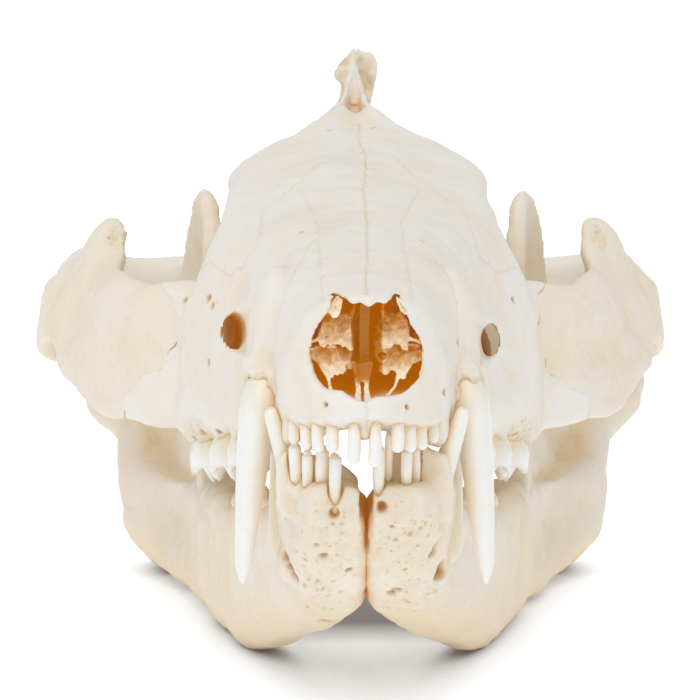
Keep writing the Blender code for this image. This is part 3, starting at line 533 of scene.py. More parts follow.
def press(body, marks):
    """Swell or dent the skin round each mark: place, half sizes, amount (minus is a dent)."""
    points, normals = read_points(body.data), read_normals(body.data)
    move = np.zeros_like(points)
    for place, half_size, amount in marks:
        share = falloff(np.linalg.norm((points - place) / half_size, axis=1), 1.0)
        move += normals * (share * amount)[:, None]
    write_points(body.data, points + move)


def roughness(points, scale, octaves, seed=0.0):
    """Wandering value about zero at each point."""
    offset = Vector((seed, seed * 0.7, -seed))
    return np.array([noise.fractal(Vector(p) * scale + offset, 1.0, 2.0, octaves) for p in points])


# Pits lie in the cells of a grid, and most cells are left out.
PIT_CHOICE_SCALE = 0.53
PIT_CHOICE_LIMIT = 0.12
PIT_EDGE = 0.14


def pitting(points, spacing, size, seed):
    """1 inside small scattered pits, 0 outside them."""
    found = np.zeros(len(points))
    for i, (x, y, z) in enumerate(points / spacing):
        gaps, centres = noise.voronoi(Vector((x + seed, y, z)))
        if noise.noise(centres[0] * PIT_CHOICE_SCALE) > PIT_CHOICE_LIMIT:
            found[i] = min(1.0, max(0.0, (size - gaps[0]) / PIT_EDGE))
    return found


def jagged(line, step, sway, seed):
    """Line cut into short steps that wander to the sides."""
    line = np.asarray(line, float)
    pieces = []
    for a, b in zip(line, line[1:]):
        count = max(1, int(np.linalg.norm(b - a) / step))
        pieces += [a + (b - a) * k / count for k in range(count)]
    pieces.append(line[-1])
    sways = []
    for point in pieces:
        place = Vector(tuple(point) + (0.0,) * (3 - len(point)))
        sways.append(tuple(noise.noise_vector(place * 1.7 + Vector((seed, 0, seed))))[:len(point)])
    return np.array(pieces) + np.array(sways) * sway


def nearest_finder(places):
    web = KDTree(len(places))
    for i, place in enumerate(places):
        web.insert(Vector(place), i)
    web.balance()
    return web


class Skin:
    """A body's skin while its fine relief is worked in."""

    def __init__(self, body):
        self.body = body
        self.refresh()

    def refresh(self):
        mesh = self.body.data
        self.points = read_points(mesh)
        self.normals = read_normals(mesh)
        polygons = [tuple(face.vertices) for face in mesh.polygons]
        self.tree = BVHTree.FromPolygons([tuple(p) for p in self.points], polygons)

    def on_skin(self, line):
        return [self.tree.find_nearest(Vector(p))[0] for p in line]

    def reach(self, line, limit):
        """Distance of each point from a line of places, up to a limit."""
        line = np.asarray([tuple(p) for p in line])
        found = np.full(len(self.points), 99.0)
        low, high = line.min(axis=0) - limit, line.max(axis=0) + limit
        inside = np.nonzero(np.all((self.points > low) & (self.points < high), axis=1))[0]
        web = nearest_finder(line)
        for i in inside:
            found[i] = web.find(Vector(self.points[i]))[2]
        return found

    def split(self, wanted):
        """Halve the edges between wanted points."""
        shape = bmesh.new()
        shape.from_mesh(self.body.data)
        edges = [e for e in shape.edges if wanted[e.verts[0].index] and wanted[e.verts[1].index]]
        bmesh.ops.subdivide_edges(shape, edges=edges, cuts=1, use_grid_fill=True)
        bmesh.ops.triangulate(shape, faces=shape.faces)
        shape.to_mesh(self.body.data)
        shape.free()
        self.refresh()

    def shift(self, amounts):
        self.points = self.points + self.normals * np.asarray(amounts)[:, None]
        write_points(self.body.data, self.points)
        self.normals = read_normals(self.body.data)

    def note(self, name, values):
        """Keep a value from 0 to 1 at each point for the paint."""
        field = self.body.data.attributes.get(name) or self.body.data.attributes.new(name, "FLOAT", "POINT")
        field.data.foreach_set("value", np.clip(values, 0, 1).astype(np.float32))


def thinned(body, limit=FACE_LIMIT):
    """Drop faces from flat areas until the body is within the limit."""
    mesh = body.data
    count = sum(len(face.vertices) - 2 for face in mesh.polygons)
    if count > limit:
        step = body.modifiers.new("thin", "DECIMATE")
        step.ratio = limit / count
        bake(body)


# The cranium

def face_set_back(x, z):
    return FACE_BOW * x**2 + FACE_LEAN * (z - FACE_LEVEL)


def cranium_blank():
    rings = []
    rows = [(scale, CRANIUM_ROWS[0]) for scale in FACE_SCALES] + [(1.0, row) for row in CRANIUM_ROWS]
    for scale, (y, roof, edge, wall, cheek, gum, base) in rows:
        half = np.array([(0, roof), edge, wall, cheek, gum, (0, base)], float)
        ring = spline(np.vstack([half, half[4:0:-1] * (-1, 1)]), 8, closed=True)
        ring = FACE_CENTRE + (ring - FACE_CENTRE) * scale
        fade = max(0.0, 1.0 - y / FACE_FADE)
        depth = y + fade * face_set_back(ring[:, 0], ring[:, 1])
        rings.append(np.stack([ring[:, 0], depth, ring[:, 1]], axis=1))
    return loft("cranium_blank", spline(rings, 6))


def sagittal_crest():
    rings = []
    for y, top, foot, thin, thick in SAGITTAL_CREST:
        half = [(thin * 0.7, top - 0.05), (thin, top - 0.5), (thin * 1.15, top * 0.7 + foot * 0.3),
                (thick, foot)]
        full = [(0.0, top)] + half + [(-x, z) for x, z in reversed(half)]
        rings.append([(x, y, z) for x, z in full])
    return loft("sagittal_crest", spline(rings, 5))


def nuchal_crest():
    far = [(-x, y, z, depth) for x, y, z, depth in reversed(NUCHAL_CREST[1:])]
    rings = []
    for x, y, z, depth in spline(far + list(NUCHAL_CREST), 4):
        point = np.array((x, y, z))
        inward = NUCHAL_CENTRE - point
        inward /= np.linalg.norm(inward)
        side = np.cross(np.cross((0, 1, 0), inward), inward)
        side *= NUCHAL_THICKNESS / 2 / np.linalg.norm(side)
        foot, shoulder = point + inward * depth, point + inward * 0.7
        spread = 0.9 + 1.1 * min(1.0, abs(x) / 6.0)
        rings.append([point, shoulder + side * 0.8, foot + side * spread, foot - side * spread,
                      shoulder - side * 0.8])
    return loft("nuchal_crest", rings)


def arch_blank(side):
    rows = []
    path = np.array([(x, y) for x, y, *_ in ARCH_ROWS])
    runs = np.gradient(path, axis=0)
    for (x, y, top, bottom, thickness, lean), run in zip(ARCH_ROWS, runs):
        x += ARCH_SPREAD[side] * min(1.0, max(0.0, (y - ARCH_SPREAD_START) / ARCH_SPREAD_RUN))
        inward = np.array((-run[1], run[0])) / np.linalg.norm(run)
        ring = []
        for across, up in ARCH_PROFILE:
            depth = across * thickness + lean * (up - 0.3)
            ring.append((side * (x + inward[0] * depth), y + inward[1] * depth, bottom + up * (top - bottom)))
        rows.append(spline(ring, 4, closed=True))
    return loft("arch_blank", spline(rows, 6))


def cheek_block(side, shift):
    """Block that holds the whole cheek bone, bounded by its two jagged seams."""
    seam = jagged(np.array(CHEEK_SEAM[side]) + (shift, 0), 0.6, 0.25, 3.0 + side)
    front = [(side * x, z) for x, z in list(seam) + [(45.0, 15.0), (45.0, 46.0)]]
    first = loft("seam_block", [[(x, y, z) for x, z in front] for y in (38.0, 112.0)], flat_ends=True)
    lift = np.array((0.5, 0.866)) * -shift
    seam = jagged(np.array(TEMPLE_SEAM) + lift, 0.6, 0.25, 7.0 + side)
    below = list(seam) + [(107.0, 10.0), (35.0, 10.0), (35.0, 60.0), (62.0, 60.0)]
    second = loft("seam_block", [[(side * x, y, z) for y, z in below] for x in (12.0, 46.0)], flat_ends=True)
    return cut_or_join(first, [second], "INTERSECT")


def nose_opening():
    edge = spline(jagged(np.vstack([NOSE_EDGE, NOSE_EDGE[:1]]), 0.5, 0.10, 1.0)[:-1], 2, closed=True)
    rings = []
    for depth, scale in NOSE_DEPTHS:
        away = edge - NOSE_CENTRE
        ring = NOSE_CENTRE + away * np.where(away > 0, (scale, 1 + (scale - 1) * 0.15), scale)
        y = CRANIUM_ROWS[0][0] + face_set_back(edge[:, 0], edge[:, 1]) + depth
        rings.append(np.stack([ring[:, 0], y, ring[:, 1]], axis=1))
    return loft("nose_opening", rings)


# Collar of the upper canine: height, middle (x, y), half sizes, how ragged it is.
COLLAR_ROWS = (
    (39.0, (8.1, 20.5), (1.4, 2.4), 0.0),
    (36.8, (8.2, 18.5), (1.9, 2.7), 0.0),
    (34.6, (8.7, 17.1), (2.1, 2.95), 0.0),
    (33.2, (9.1, 16.3), (2.15, 2.95), 0.5),
    (32.2, (9.4, 15.75), (2.1, 2.8), 1.1),
)


def socket_collar(side):
    """Thin broken lip of bone round the root of the upper canine."""
    turn = np.arange(64) * math.tau / 64
    places = [Vector((math.cos(a) * 2.4 + side * 5, math.sin(a) * 2.4, 4.0)) for a in turn]
    ragged = np.array([noise.fractal(place, 0.8, 2.0, 4) for place in places])
    inner_side = np.clip(-np.cos(turn) * 0.9, 0, 1) ** 2
    rings = []
    for level, (x, y), (wide, deep), loose in COLLAR_ROWS:
        height = level + loose * (3.2 * ragged + 1.6 * inner_side)
        rings.append(np.stack([x + np.cos(turn) * wide, y + np.sin(turn) * deep, height], axis=1))
    return loft("collar", np.array(rings) * (side, 1, 1))


def temple_ridge(side):
    """Sharp ridge whose top follows its path, sunk into the roof and the crest below it."""
    widths = np.array(TEMPLE_RIDGE_WIDTHS)
    path = np.array(TEMPLE_RIDGES[side])
    path[:, 2] -= widths * TEMPLE_RIDGE_TALLNESS
    path[:, 0] += side * widths * np.interp(path[:, 1], (79.0, 84.0), (0.3, -0.35))
    return tube("temple_ridge", path, widths, TEMPLE_RIDGE_TALLNESS, around=28, steps=6)


def upper_gum(y):
    """Height of the lower edge of the bone at the upper cheek teeth."""
    return 21.4 + (50.0 - y) * 0.19


def front_gum(y):
    """The same at the upper front teeth."""
    return np.interp(y, *zip(*FRONT_GUM))


# Swellings and dents on each side and in the middle: place, half sizes, amount.
CRANIUM_SIDE_MARKS = (
    ((13.2, 36.0, 38.5), (4.0, 9.0, 4.0), -0.7),
    ((5.6, 30.0, 44.5), (2.4, 16.0, 3.0), 0.35),
    ((8.8, 28.0, 41.0), (2.5, 12.0, 3.0), -0.45),
    ((8.5, 58.0, 47.5), (4.5, 10.0, 3.0), -0.5),
    ((3.5, 60.0, 49.5), (2.5, 12.0, 3.0), 0.25),
    ((6.0, 74.0, 50.5), (5.0, 7.0, 3.0), -0.35),
    ((14.5, 42.0, 27.0), (4.0, 10.0, 3.0), 0.4),
    ((11.0, 24.0, 29.5), (3.0, 7.0, 4.0), -0.4),
    ((17.8, 48.0, 35.0), (2.5, 4.0, 3.5), 0.35),
    ((7.6, 9.0, 33.6), (3.0, 4.0, 3.0), 0.25),
    ((14.0, 108.0, 34.0), (6.0, 12.0, 8.0), 0.8),
    ((10.5, 122.0, 30.0), (5.0, 5.0, 5.0), -0.6),
)
CRANIUM_MIDDLE_MARKS = (
    ((0.0, 20.0, 44.5), (2.0, 22.0, 3.0), -0.25),
    ((0.0, 68.0, 50.6), (2.2, 12.0, 3.0), -0.3),
    ((0.0, 2.0, 31.6), (2.4, 3.0, 1.8), -0.35),
    ((0.0, 125.0, 38.0), (4.0, 4.0, 9.0), -1.0),
)
CRANIUM_MARKS = [*mirrored(CRANIUM_SIDE_MARKS, -1), *mirrored(CRANIUM_SIDE_MARKS, 1), *CRANIUM_MIDDLE_MARKS]
BACK_WALL_DROPS = {-1: 2.2, 1: 3.1}
BETWEEN_ROOTS = (0.34, 0.8, 0.95)
BETWEEN_MIDDLE_ROOTS = ((-0.15, 2.3, 30.2), (0.72, 1.1, 1.2))
CANAL_WIDENING = (1.25, 1.0, 1.0, 1.1, 1.4)
NOTCH_CLEARANCE = 0.25


def socket_rims(side):
    """Bone over the roots of the upper front teeth."""
    rims = []
    for x, y, z, width, rise in UPPER_INCISORS[side]:
        gum = front_gum(y)
        path = ((x * 0.92, y + 2.6, gum + 3.2), (x * 0.96, y + 1.2, gum + 1.4), (x, y + 0.55, gum + 0.1))
        rims.append(tube("socket_rim", path, (width * 0.6, width * 0.72, width * 0.62), side=side))
    return rims


def root_ridges(side):
    """Bone over the two roots of each upper cheek tooth."""
    ridges = []
    for x, y, half_width, half_length, molar in UPPER_CHEEK_TEETH:
        for end in (-0.5, 0.5):
            top = (x + half_width * 0.45, y + end * half_length, upper_gum(y) + 4.0)
            low = (x + half_width * 0.55, y + end * half_length, upper_gum(y) - 0.4)
            ridges.append(spur("root_ridge", top, low, 0.9, 0.8, side))
    return ridges


def palate_edge(side):
    """Bone behind and between the upper front teeth."""
    walls = []
    for x, y, *_ in UPPER_INCISORS[side][2:]:
        gum = front_gum(y)
        low = gum - BACK_WALL_DROPS[side] - 0.3 * math.sin(7 * x)
        path = ((x * 0.96, y + 2.3, gum + 1.5), (x * 0.97, y + 2.2, gum - 0.8), (x * 0.97, y + 2.1, low))
        walls.append(tube("back_wall", path, (0.85, 0.85, 0.7), side=side))
    walls.append(spur("back_wall", *OUTER_WALL, side))
    for near, far in zip(UPPER_INCISORS[side], UPPER_INCISORS[side][1:]):
        x, y = (near[0] + far[0]) / 2, (near[1] + far[1]) / 2
        walls.append(oval("between_roots", (x, y + 0.7, front_gum(y)), BETWEEN_ROOTS, side))
    return walls


def cranium_cutters():
    """Bodies of the openings, and of the cheek bones that the cranium makes room for."""
    cutters = [nose_opening(), oval("opening", *FORAMEN_MAGNUM), oval("opening", *CHOANA)]
    for side in (-1, 1):
        wide, tall = EYE_SIDE_CANAL_SIZE[side]
        cutters.append(tube("canal", EYE_SIDE_CANAL[side], [wide * share for share in CANAL_WIDENING],
                            tall / wide, side=side))
        cutters += [spur("window", start, end, radius, radius, side) for start, end, radius in PALATE_WINDOWS]
        notch_widths = [width + NOTCH_CLEARANCE for width in LOWER_CANINE_HALF_WIDTHS]
        cutters.append(tube("notch", LOWER_CANINE_PATH, notch_widths, CANINE_DEPTH_RATIO, side=side))
        cutters.append(cheek_block(side, -SUTURE_GAP / 2))
    return cutters


def build_cranium():
    bodies = [cranium_blank(), nuchal_crest()]
    for side in (-1, 1):
        bodies += [temple_ridge(side), arch_blank(side), oval("swelling", *ROOT_SWELLING, side),
                   socket_collar(side), oval("condyle", *OCCIPITAL_CONDYLE, side),
                   oval("ear_bulge", *EAR_BULGE, side)]
        bodies += [spur("spur", *row, side) for row in SPURS]
        bodies += socket_rims(side) + root_ridges(side) + palate_edge(side)
    bodies.append(oval("between_roots", *BETWEEN_MIDDLE_ROOTS))
    body = gathered("cranium_bone", bodies)
    even_skin(body, BONE_GRAIN * 1.15)
    soften(body, 4)
    press(body, CRANIUM_MARKS)
    cut_or_join(body, cranium_cutters(), "DIFFERENCE")
    even_skin(body, BONE_GRAIN)
    keep_largest(body)
    soften(body, 2)
    return body


def build_crest():
    """Thin crest on the top with its two lips and the flared flakes at its back end."""
    bodies = [sagittal_crest(), temple_ridge(-1), temple_ridge(1)]
    for outline, y, thickness in CREST_FLAKES:
        bodies.append(web_plate("flake", spline(outline, 3, closed=True), y, thickness))
    body = gathered("crest", bodies)
    front = closed_body("block", [(x, y, z) for x in (-20, 20) for y in (50.0, 79.5) for z in (30, 60)],
                        [(0, 1, 3, 2), (4, 6, 7, 5), (0, 4, 5, 1), (2, 3, 7, 6), (0, 2, 6, 4), (1, 5, 7, 3)])
    even_skin(body, CREST_GRAIN)
    cut_or_join(body, [front], "DIFFERENCE")
    even_skin(body, CREST_GRAIN)
    soften(body, 3)
    points, normals = read_points(body.data), read_normals(body.data)
    back = np.clip((points[:, 1] - 116.0) / 4.0, 0, 1)
    points += normals * ((0.05 + 0.06 * back) * roughness(points, 0.9, 3, 31.0))[:, None]
    points[:, 1] += back * 0.4 * roughness(points * (1, 0, 1), 0.5, 2, 12.0)
    write_points(body.data, points)
    return body


def keep_largest(body):
    """Drop the crumbs that a cut leaves."""
    shape = bmesh.new()
    shape.from_mesh(body.data)
    unseen, groups = set(shape.verts), []
    while unseen:
        edge, group = [unseen.pop()], []
        while edge:
            vert = edge.pop()
            group.append(vert)
            for link in vert.link_edges:
                other = link.other_vert(vert)
                if other in unseen:
                    unseen.discard(other)
                    edge.append(other)
        groups.append(group)
    groups.sort(key=len)
    bmesh.ops.delete(shape, geom=[v for group in groups[:-1] for v in group], context="VERTS")
    shape.to_mesh(body.data)
    shape.free()


CHEEK_MARKS = (
    ((25.0, 57.0, 29.5), (5.0, 8.0, 4.5), -0.7),
    ((31.0, 74.0, 30.5), (5.0, 9.0, 3.5), -0.5),
    ((25.5, 60.5, 23.2), (4.0, 8.0, 1.3), 0.6),
    ((31.0, 70.0, 26.2), (4.0, 10.0, 1.6), 0.4),
    ((26.4, 76.3, 39.0), (1.2, 1.4, 1.6), -0.5),
)


def build_cheek_bone(side, name):
    body = gathered(name, [arch_blank(side)])
    even_skin(body, BONE_GRAIN)
    soften(body, 3)
    press(body, mirrored(CHEEK_MARKS, side))
    cut_or_join(body, [cheek_block(side, SUTURE_GAP / 2)], "INTERSECT")
    even_skin(body, BONE_GRAIN * 0.85)
    keep_largest(body)
    soften(body, 2)
    return body


# The lower jaw

def turned(points):
    """Places of the lower jaw, which sits a little askew."""
    points = np.asarray(points, float)
    cos, sin = math.cos(JAW_TURN), math.sin(JAW_TURN)
    x, y = points[:, 0].copy(), points[:, 1].copy()
    return np.stack([x * cos + y * sin, y * cos - x * sin, points[:, 2]], axis=1)


# Section of the body across and up, from 0 to 1.
JAW_PROFILE = ((0.0, 0.20), (0.0, 0.50), (0.02, 0.86), (0.22, 0.99), (0.5, 1.0), (0.80, 0.98), (0.97, 0.84),
               (1.0, 0.50), (0.95, 0.22), (0.72, 0.03), (0.5, 0.0), (0.26, 0.02), (0.06, 0.09))
LOWER_CANINE_COLLAR = (((4.6, 16.0, 14.0), (6.0, 13.4, 19.5), (6.6, 12.4, 23.2), (6.8, 11.9, 24.4)),
                       (2.4, 2.2, 1.75, 1.3), CANINE_DEPTH_RATIO)


def jaw_body(side):
    rings = []
    for y, inner, outer, top, bottom in JAW_BODY_ROWS:
        width, height = outer - inner, top - bottom
        ring = [(side * (inner + a * width), y, bottom + b * height) for a, b in JAW_PROFILE]
        rings.append(spline(ring, 3, closed=True))
    return loft("jaw_body", spline(rings, 6))


def jaw_plate(side):
    rings = []
    for y, top, bottom, top_x, middle_x, bottom_x, half in JAW_PLATE_ROWS:
        height = top - bottom
        line = ((bottom_x, bottom), (middle_x, bottom + height * 0.4), (middle_x, bottom + height * 0.7),
                (top_x, top - 0.8))
        ring = [(x + half, z) for x, z in line] + [(top_x, top)] + [(x - half, z) for x, z in reversed(line)]
        rings.append([(side * x, y, z) for x, z in ring])
    return loft("jaw_plate", spline(rings, 5))


def jaw_angle(side):
    rings = []
    for x, y, top, bottom, half in JAW_ANGLE_ROWS:
        ring = ((-1, bottom + 0.5), (-0.6, bottom), (0.6, bottom), (1, bottom + 0.5), (0.6, top), (-0.6, top))
        rings.append([(side * x, y + half * a, z) for a, z in ring])
    return loft("jaw_angle", spline(rings, 5))


def jaw_blank(side):
    bodies = [jaw_body(side), jaw_plate(side), jaw_angle(side), spur("jaw_condyle", *JAW_CONDYLE, side)]
    bodies += [spur("jaw_neck", *row, side) for row in JAW_NECKS]
    for x, y, z, width, rise in LOWER_INCISORS[side]:
        path = ((x * 0.96, y + 2.2, z - rise - 1.5), (x, y + 1.1, z - rise * 0.85),
                (x, y + 0.8, z - rise * 0.62))
        bodies.append(tube("socket_rim", path, (width * 0.7, width * 0.8, width * 0.55), side=side))
    bodies.append(tube("collar", *LOWER_CANINE_COLLAR, side=side))
    bodies.append(web_plate("tooth_wall", TOOTH_WALLS[side], *TOOTH_WALL_DEPTH, 0.12))
    bodies.append(oval("hole_rim", *CHIN_HOLE_RIMS[side]))
    return bodies


def lower_socket(row, side):
    """Open notch in front of the bone, in which a lower front tooth stands."""
    x, y, z, width, rise = row
    low, half = z - rise * 0.74, width / 2
    path = ((x, y + 0.3, z), (x, y + 0.3, low + 2.0), (x, y + 0.35, low + 1.0), (x, y + 0.4, low))
    return tube("socket", path, (half + 0.34, half + 0.26, half + 0.08, 0.22), 1.2, around=20, side=side)


# Swellings and dents of the jaw: place, half sizes, amount.
JAW_MARKS = (
    ((21.5, 76.0, 8.5), (6.0, 12.5, 7.0), -1.5),
    ((18.5, 66.0, 8.0), (5.0, 5.0, 6.0), -0.5),
    ((16.6, 57.0, 8.5), (2.4, 2.6, 8.0), 0.75),
    ((25.0, 88.0, 5.0), (5.0, 7.0, 3.0), 0.45),
    ((17.5, 77.0, 36.0), (3.0, 5.0, 8.0), -0.15),
    ((8.0, 20.0, 15.0), (2.5, 6.0, 4.0), -0.4),
    ((11.0, 36.0, 8.0), (3.0, 9.0, 4.0), 0.3),
    ((4.2, 9.0, 18.5), (3.5, 5.0, 4.5), 0.25),
    ((0.4, 8.5, 22.8), (1.6, 4.0, 2.2), -0.45),
)


def build_jaw(side, name):
    body = gathered(name, jaw_blank(side))
    even_skin(body, BONE_GRAIN)
    soften(body, 4)
    press(body, mirrored(JAW_MARKS, side))
    cut_or_join(body, [lower_socket(row, side) for row in LOWER_INCISORS[side]], "DIFFERENCE")
    keep_largest(body)
    write_points(body.data, turned(read_points(body.data)))
    return body


def above_floor(body):
    """Flatten whatever dips under the floor."""
    points = read_points(body.data)
    points[:, 2] = np.maximum(points[:, 2], 0.0)
    write_points(body.data, points)


# Teeth

def peg_tooth(tip, width, root, side, seed):
    """Small front tooth.  A root below the tip gives a tooth that points up."""
    x, y, z = tip
    half = width / 2
    lean = 0.12 * math.sin(seed * 5.1)
    path = [(x * 0.95, y + 1.9, z + root), (x, y + 0.9, z + root * 0.66), (x, y + 0.3, z + root * 0.36),
            (x + lean * 0.5, y + 0.05, z + root * 0.12), (x + lean * 0.8, y + 0.02, z + 0.28),
            (x + lean, y, z)]
    widths = (half * 0.7, half * 0.82, half * 0.98, half, half * 0.9, half * 0.45)
    return tube("tooth", path, widths, 1.15, around=20, steps=7, side=side)


# Rings of a cheek tooth, from the root up: size and level in crown heights.
CROWN_SIDES = ((0.62, -1.0), (0.74, -0.35), (0.80, 0.0), (0.93, 0.14), (1.0, 0.34), (0.97, 0.5))
CROWN_TOPS = (0.92, 0.84, 0.72, 0.58, 0.44, 0.30, 0.16, 0.05)
CROWN_AROUND = 36
SQUARENESS = 2.6
# Crown heights of a molar and of a full premolar.
UPPER_CROWNS = (4.6, 3.6)
LOWER_CROWNS = (2.7, 2.4)
FULL_PREMOLAR = 2.2


def cheek_tooth(row, gum, crown, cusps, side, up):
    """Crown with cusps on a narrower root.  up is 1 where the crown points up."""
    x, y, half_width, half_length, molar = row
    turn = np.arange(CROWN_AROUND) * math.tau / CROWN_AROUND
    across, along = np.cos(turn), np.sin(turn)
    if molar and up < 0:
        along = along * np.where(across < 0, 0.62 + 0.38 * (1 + across), 1.0)
    squared = (np.abs(across) ** SQUARENESS + np.abs(along) ** SQUARENESS) ** (-1 / SQUARENESS)
    across, along = across * squared, along * squared
    rings = [np.stack([across * scale, along * scale, np.full(CROWN_AROUND, level)], axis=1)
             for scale, level in CROWN_SIDES]
    for scale in CROWN_TOPS:
        u, v = across * scale, along * scale
        level = 0.5 + 0.06 * scale
        for a, b, height, spread in cusps:
            mound = np.exp(-((u - a) ** 2 + (v - b) ** 2) / spread**2)
            level = level + 0.5 * height * mound * (1 - 0.6 * scale**8)
        rings.append(np.stack([u, v, level * np.ones(CROWN_AROUND)], axis=1))
    rings = np.array(rings)
    return loft("tooth", np.stack([side * (x + rings[..., 0] * half_width), y + rings[..., 1] * half_length,
                                   gum + up * rings[..., 2] * crown], axis=-1))


def cheek_teeth(rows, gum, crowns, molar_cusps, side, up):
    """All the cheek teeth of one side above or below."""
    teeth = []
    for row in rows:
        _, y, _, half_length, molar = row
        crown = crowns[0] if molar else crowns[1] * min(1.0, half_length / FULL_PREMOLAR)
        teeth.append(cheek_tooth(row, gum(y), crown, molar_cusps if molar else PREMOLAR_CUSPS, side, up))
    return teeth


def lower_gum(y):
    return 19.9 - (y - 17.6) * 0.185


def front_teeth(rows, up, side, seed):
    """Small front teeth of one side.  up is 1 where they point up."""
    return [peg_tooth((x, y, z), width, -up * rise, side, i + side + seed)
            for i, (x, y, z, width, rise) in enumerate(rows)]


def build_teeth():
    groups = {"upper_incisors": [], "upper_cheek_teeth": []}
    for side, word in SIDES:
        groups["upper_incisors"] += front_teeth(UPPER_INCISORS[side], -1, side, 0)
        groups["upper_cheek_teeth"] += cheek_teeth(UPPER_CHEEK_TEETH, upper_gum, UPPER_CROWNS,
                                                   UPPER_MOLAR_CUSPS, side, -1)
        lower = front_teeth(LOWER_INCISORS[side], 1, side, 7)
        lower.append(tube("tooth", LOWER_CANINE_PATH, LOWER_CANINE_HALF_WIDTHS, CANINE_DEPTH_RATIO,
                          around=40, steps=8, side=side))
        lower.append(spur("tooth", *LOWER_FIRST_PREMOLAR, side))
        lower += cheek_teeth(LOWER_CHEEK_TEETH, lower_gum, LOWER_CROWNS, LOWER_MOLAR_CUSPS, side, 1)
        groups["lower_teeth_" + word] = lower
    pieces = {name: gathered(name, bodies) for name, bodies in groups.items()}
    for side, word in SIDES:
        lower = pieces["lower_teeth_" + word].data
        write_points(lower, turned(read_points(lower)))
        pieces["canine_" + word] = tube("canine_" + word, CANINE_PATH, CANINE_HALF_WIDTHS, CANINE_DEPTH_RATIO,
                                        around=48, steps=8, side=side)
    return pieces


# Inside the nose

# Bony webs in the nose seen from the front: outline (x, z), depth y, and windows in them.
NOSE_WEBS = (
    (((-3.59, 39.81), (-3.04, 39.48), (-2.35, 39.62), (-1.72, 39.66), (-1.41, 39.39), (-1.23, 38.74),
      (-1.3, 38.15), (-1.08, 37.64), (-1.44, 37.46), (-1.23, 37.0), (-1.15, 36.63), (-1.53, 36.57),
      (-1.9, 36.9), (-2.13, 36.76), (-2.35, 37.0), (-2.62, 37.05), (-3.04, 37.13), (-3.26, 36.9),
      (-3.48, 37.13), (-3.77, 36.81), (-4.17, 36.94), (-4.35, 37.46), (-4.3, 38.01), (-4.04, 38.65),
      (-3.9, 39.2)), 8.2,
     (((-2.57, 38.71), (-2.03, 39.07), (-1.63, 38.89), (-1.53, 38.38), (-1.9, 38.15), (-2.35, 37.97),
       (-2.72, 38.15)),
      ((-3.75, 37.6), (-3.55, 37.78), (-3.38, 37.7), (-3.58, 37.52)))),
    (((-5.6, 36.63), (-4.44, 36.72), (-3.9, 36.63), (-3.35, 36.76), (-3.11, 37.05), (-2.86, 36.9),
      (-2.62, 36.54), (-2.41, 36.32), (-2.32, 35.8), (-2.03, 35.58), (-1.63, 35.65), (-1.3, 35.73),
      (-1.44, 35.4), (-1.81, 35.29), (-1.95, 35.07), (-1.72, 34.74), (-2.03, 34.61), (-2.03, 34.33),
      (-2.39, 34.48), (-2.62, 34.29), (-2.93, 34.48), (-3.04, 34.11), (-3.35, 34.33), (-3.53, 34.15),
      (-3.77, 34.33), (-4.08, 34.88), (-4.35, 35.29), (-4.8, 35.71), (-5.6, 36.17)), 7.6, ()),
    (((3.24, 39.88), (3.55, 39.48), (3.91, 38.83), (4.0, 38.15), (3.97, 37.46), (3.82, 36.9), (3.86, 36.39),
      (3.55, 36.54), (3.28, 36.54), (3.1, 37.0), (2.82, 36.9), (2.55, 37.05), (2.19, 36.63), (1.82, 36.21),
      (1.5, 36.63), (1.19, 36.5), (0.88, 36.63), (0.59, 37.0), (0.77, 37.46), (0.64, 37.82), (0.95, 38.15),
      (0.74, 38.56), (0.92, 39.02), (1.37, 39.2), (1.82, 39.48), (2.19, 39.29), (2.46, 39.02), (2.82, 39.39),
      (3.1, 39.7)), 8.2,
     (((1.13, 38.6), (1.55, 39.02), (2.01, 38.96), (2.37, 38.56), (2.46, 38.1), (2.15, 37.86), (1.73, 38.04),
       (1.37, 38.23)),)),
    (((5.6, 36.63), (4.33, 36.39), (3.82, 36.32), (3.46, 36.02), (3.06, 36.21), (2.64, 36.35), (2.37, 36.13),
      (2.15, 35.62), (1.73, 35.43), (1.28, 35.58), (1.13, 35.29), (1.28, 34.97), (1.01, 34.7), (1.37, 34.61),
      (1.64, 34.33), (2.01, 34.33), (2.22, 34.61), (2.55, 34.66), (2.82, 34.37), (3.1, 34.15), (3.31, 33.93),
      (3.6, 34.0), (3.68, 34.48), (3.97, 34.88), (4.4, 35.34), (5.6, 36.02)), 7.6, ()),
    (((0.74, 36.63), (1.37, 36.5), (2.01, 36.5), (2.22, 36.02), (2.01, 35.51), (1.5, 35.47), (1.06, 35.58),
      (0.77, 35.99)), 7.9,
     (((1.06, 36.28), (1.55, 36.35), (1.86, 36.21), (1.9, 35.88), (1.61, 35.69), (1.21, 35.77)),)),
    (((-1.3, 35.62), (-1.04, 35.71), (-0.63, 35.43), (-0.08, 35.53), (0.37, 35.71), (0.7, 35.62),
      (0.52, 34.88), (0.28, 34.0), (-0.08, 33.93), (-0.35, 33.78), (-0.63, 34.0), (-0.94, 33.96),
      (-1.12, 34.79)), 7.0, ()),
    (((-3.55, 40.5), (-3.2, 41.2), (-2.62, 41.9), (-2.13, 41.6), (-2.28, 40.78), (-2.42, 40.24),
      (-2.72, 39.9), (-3.04, 39.95), (-3.25, 40.2)), 5.2, ()),
    (((2.6, 41.8), (3.2, 41.6), (3.5, 40.9), (3.85, 40.5), (3.7, 40.14), (3.31, 40.32), (3.0, 40.8)),
      5.2, ()),
)
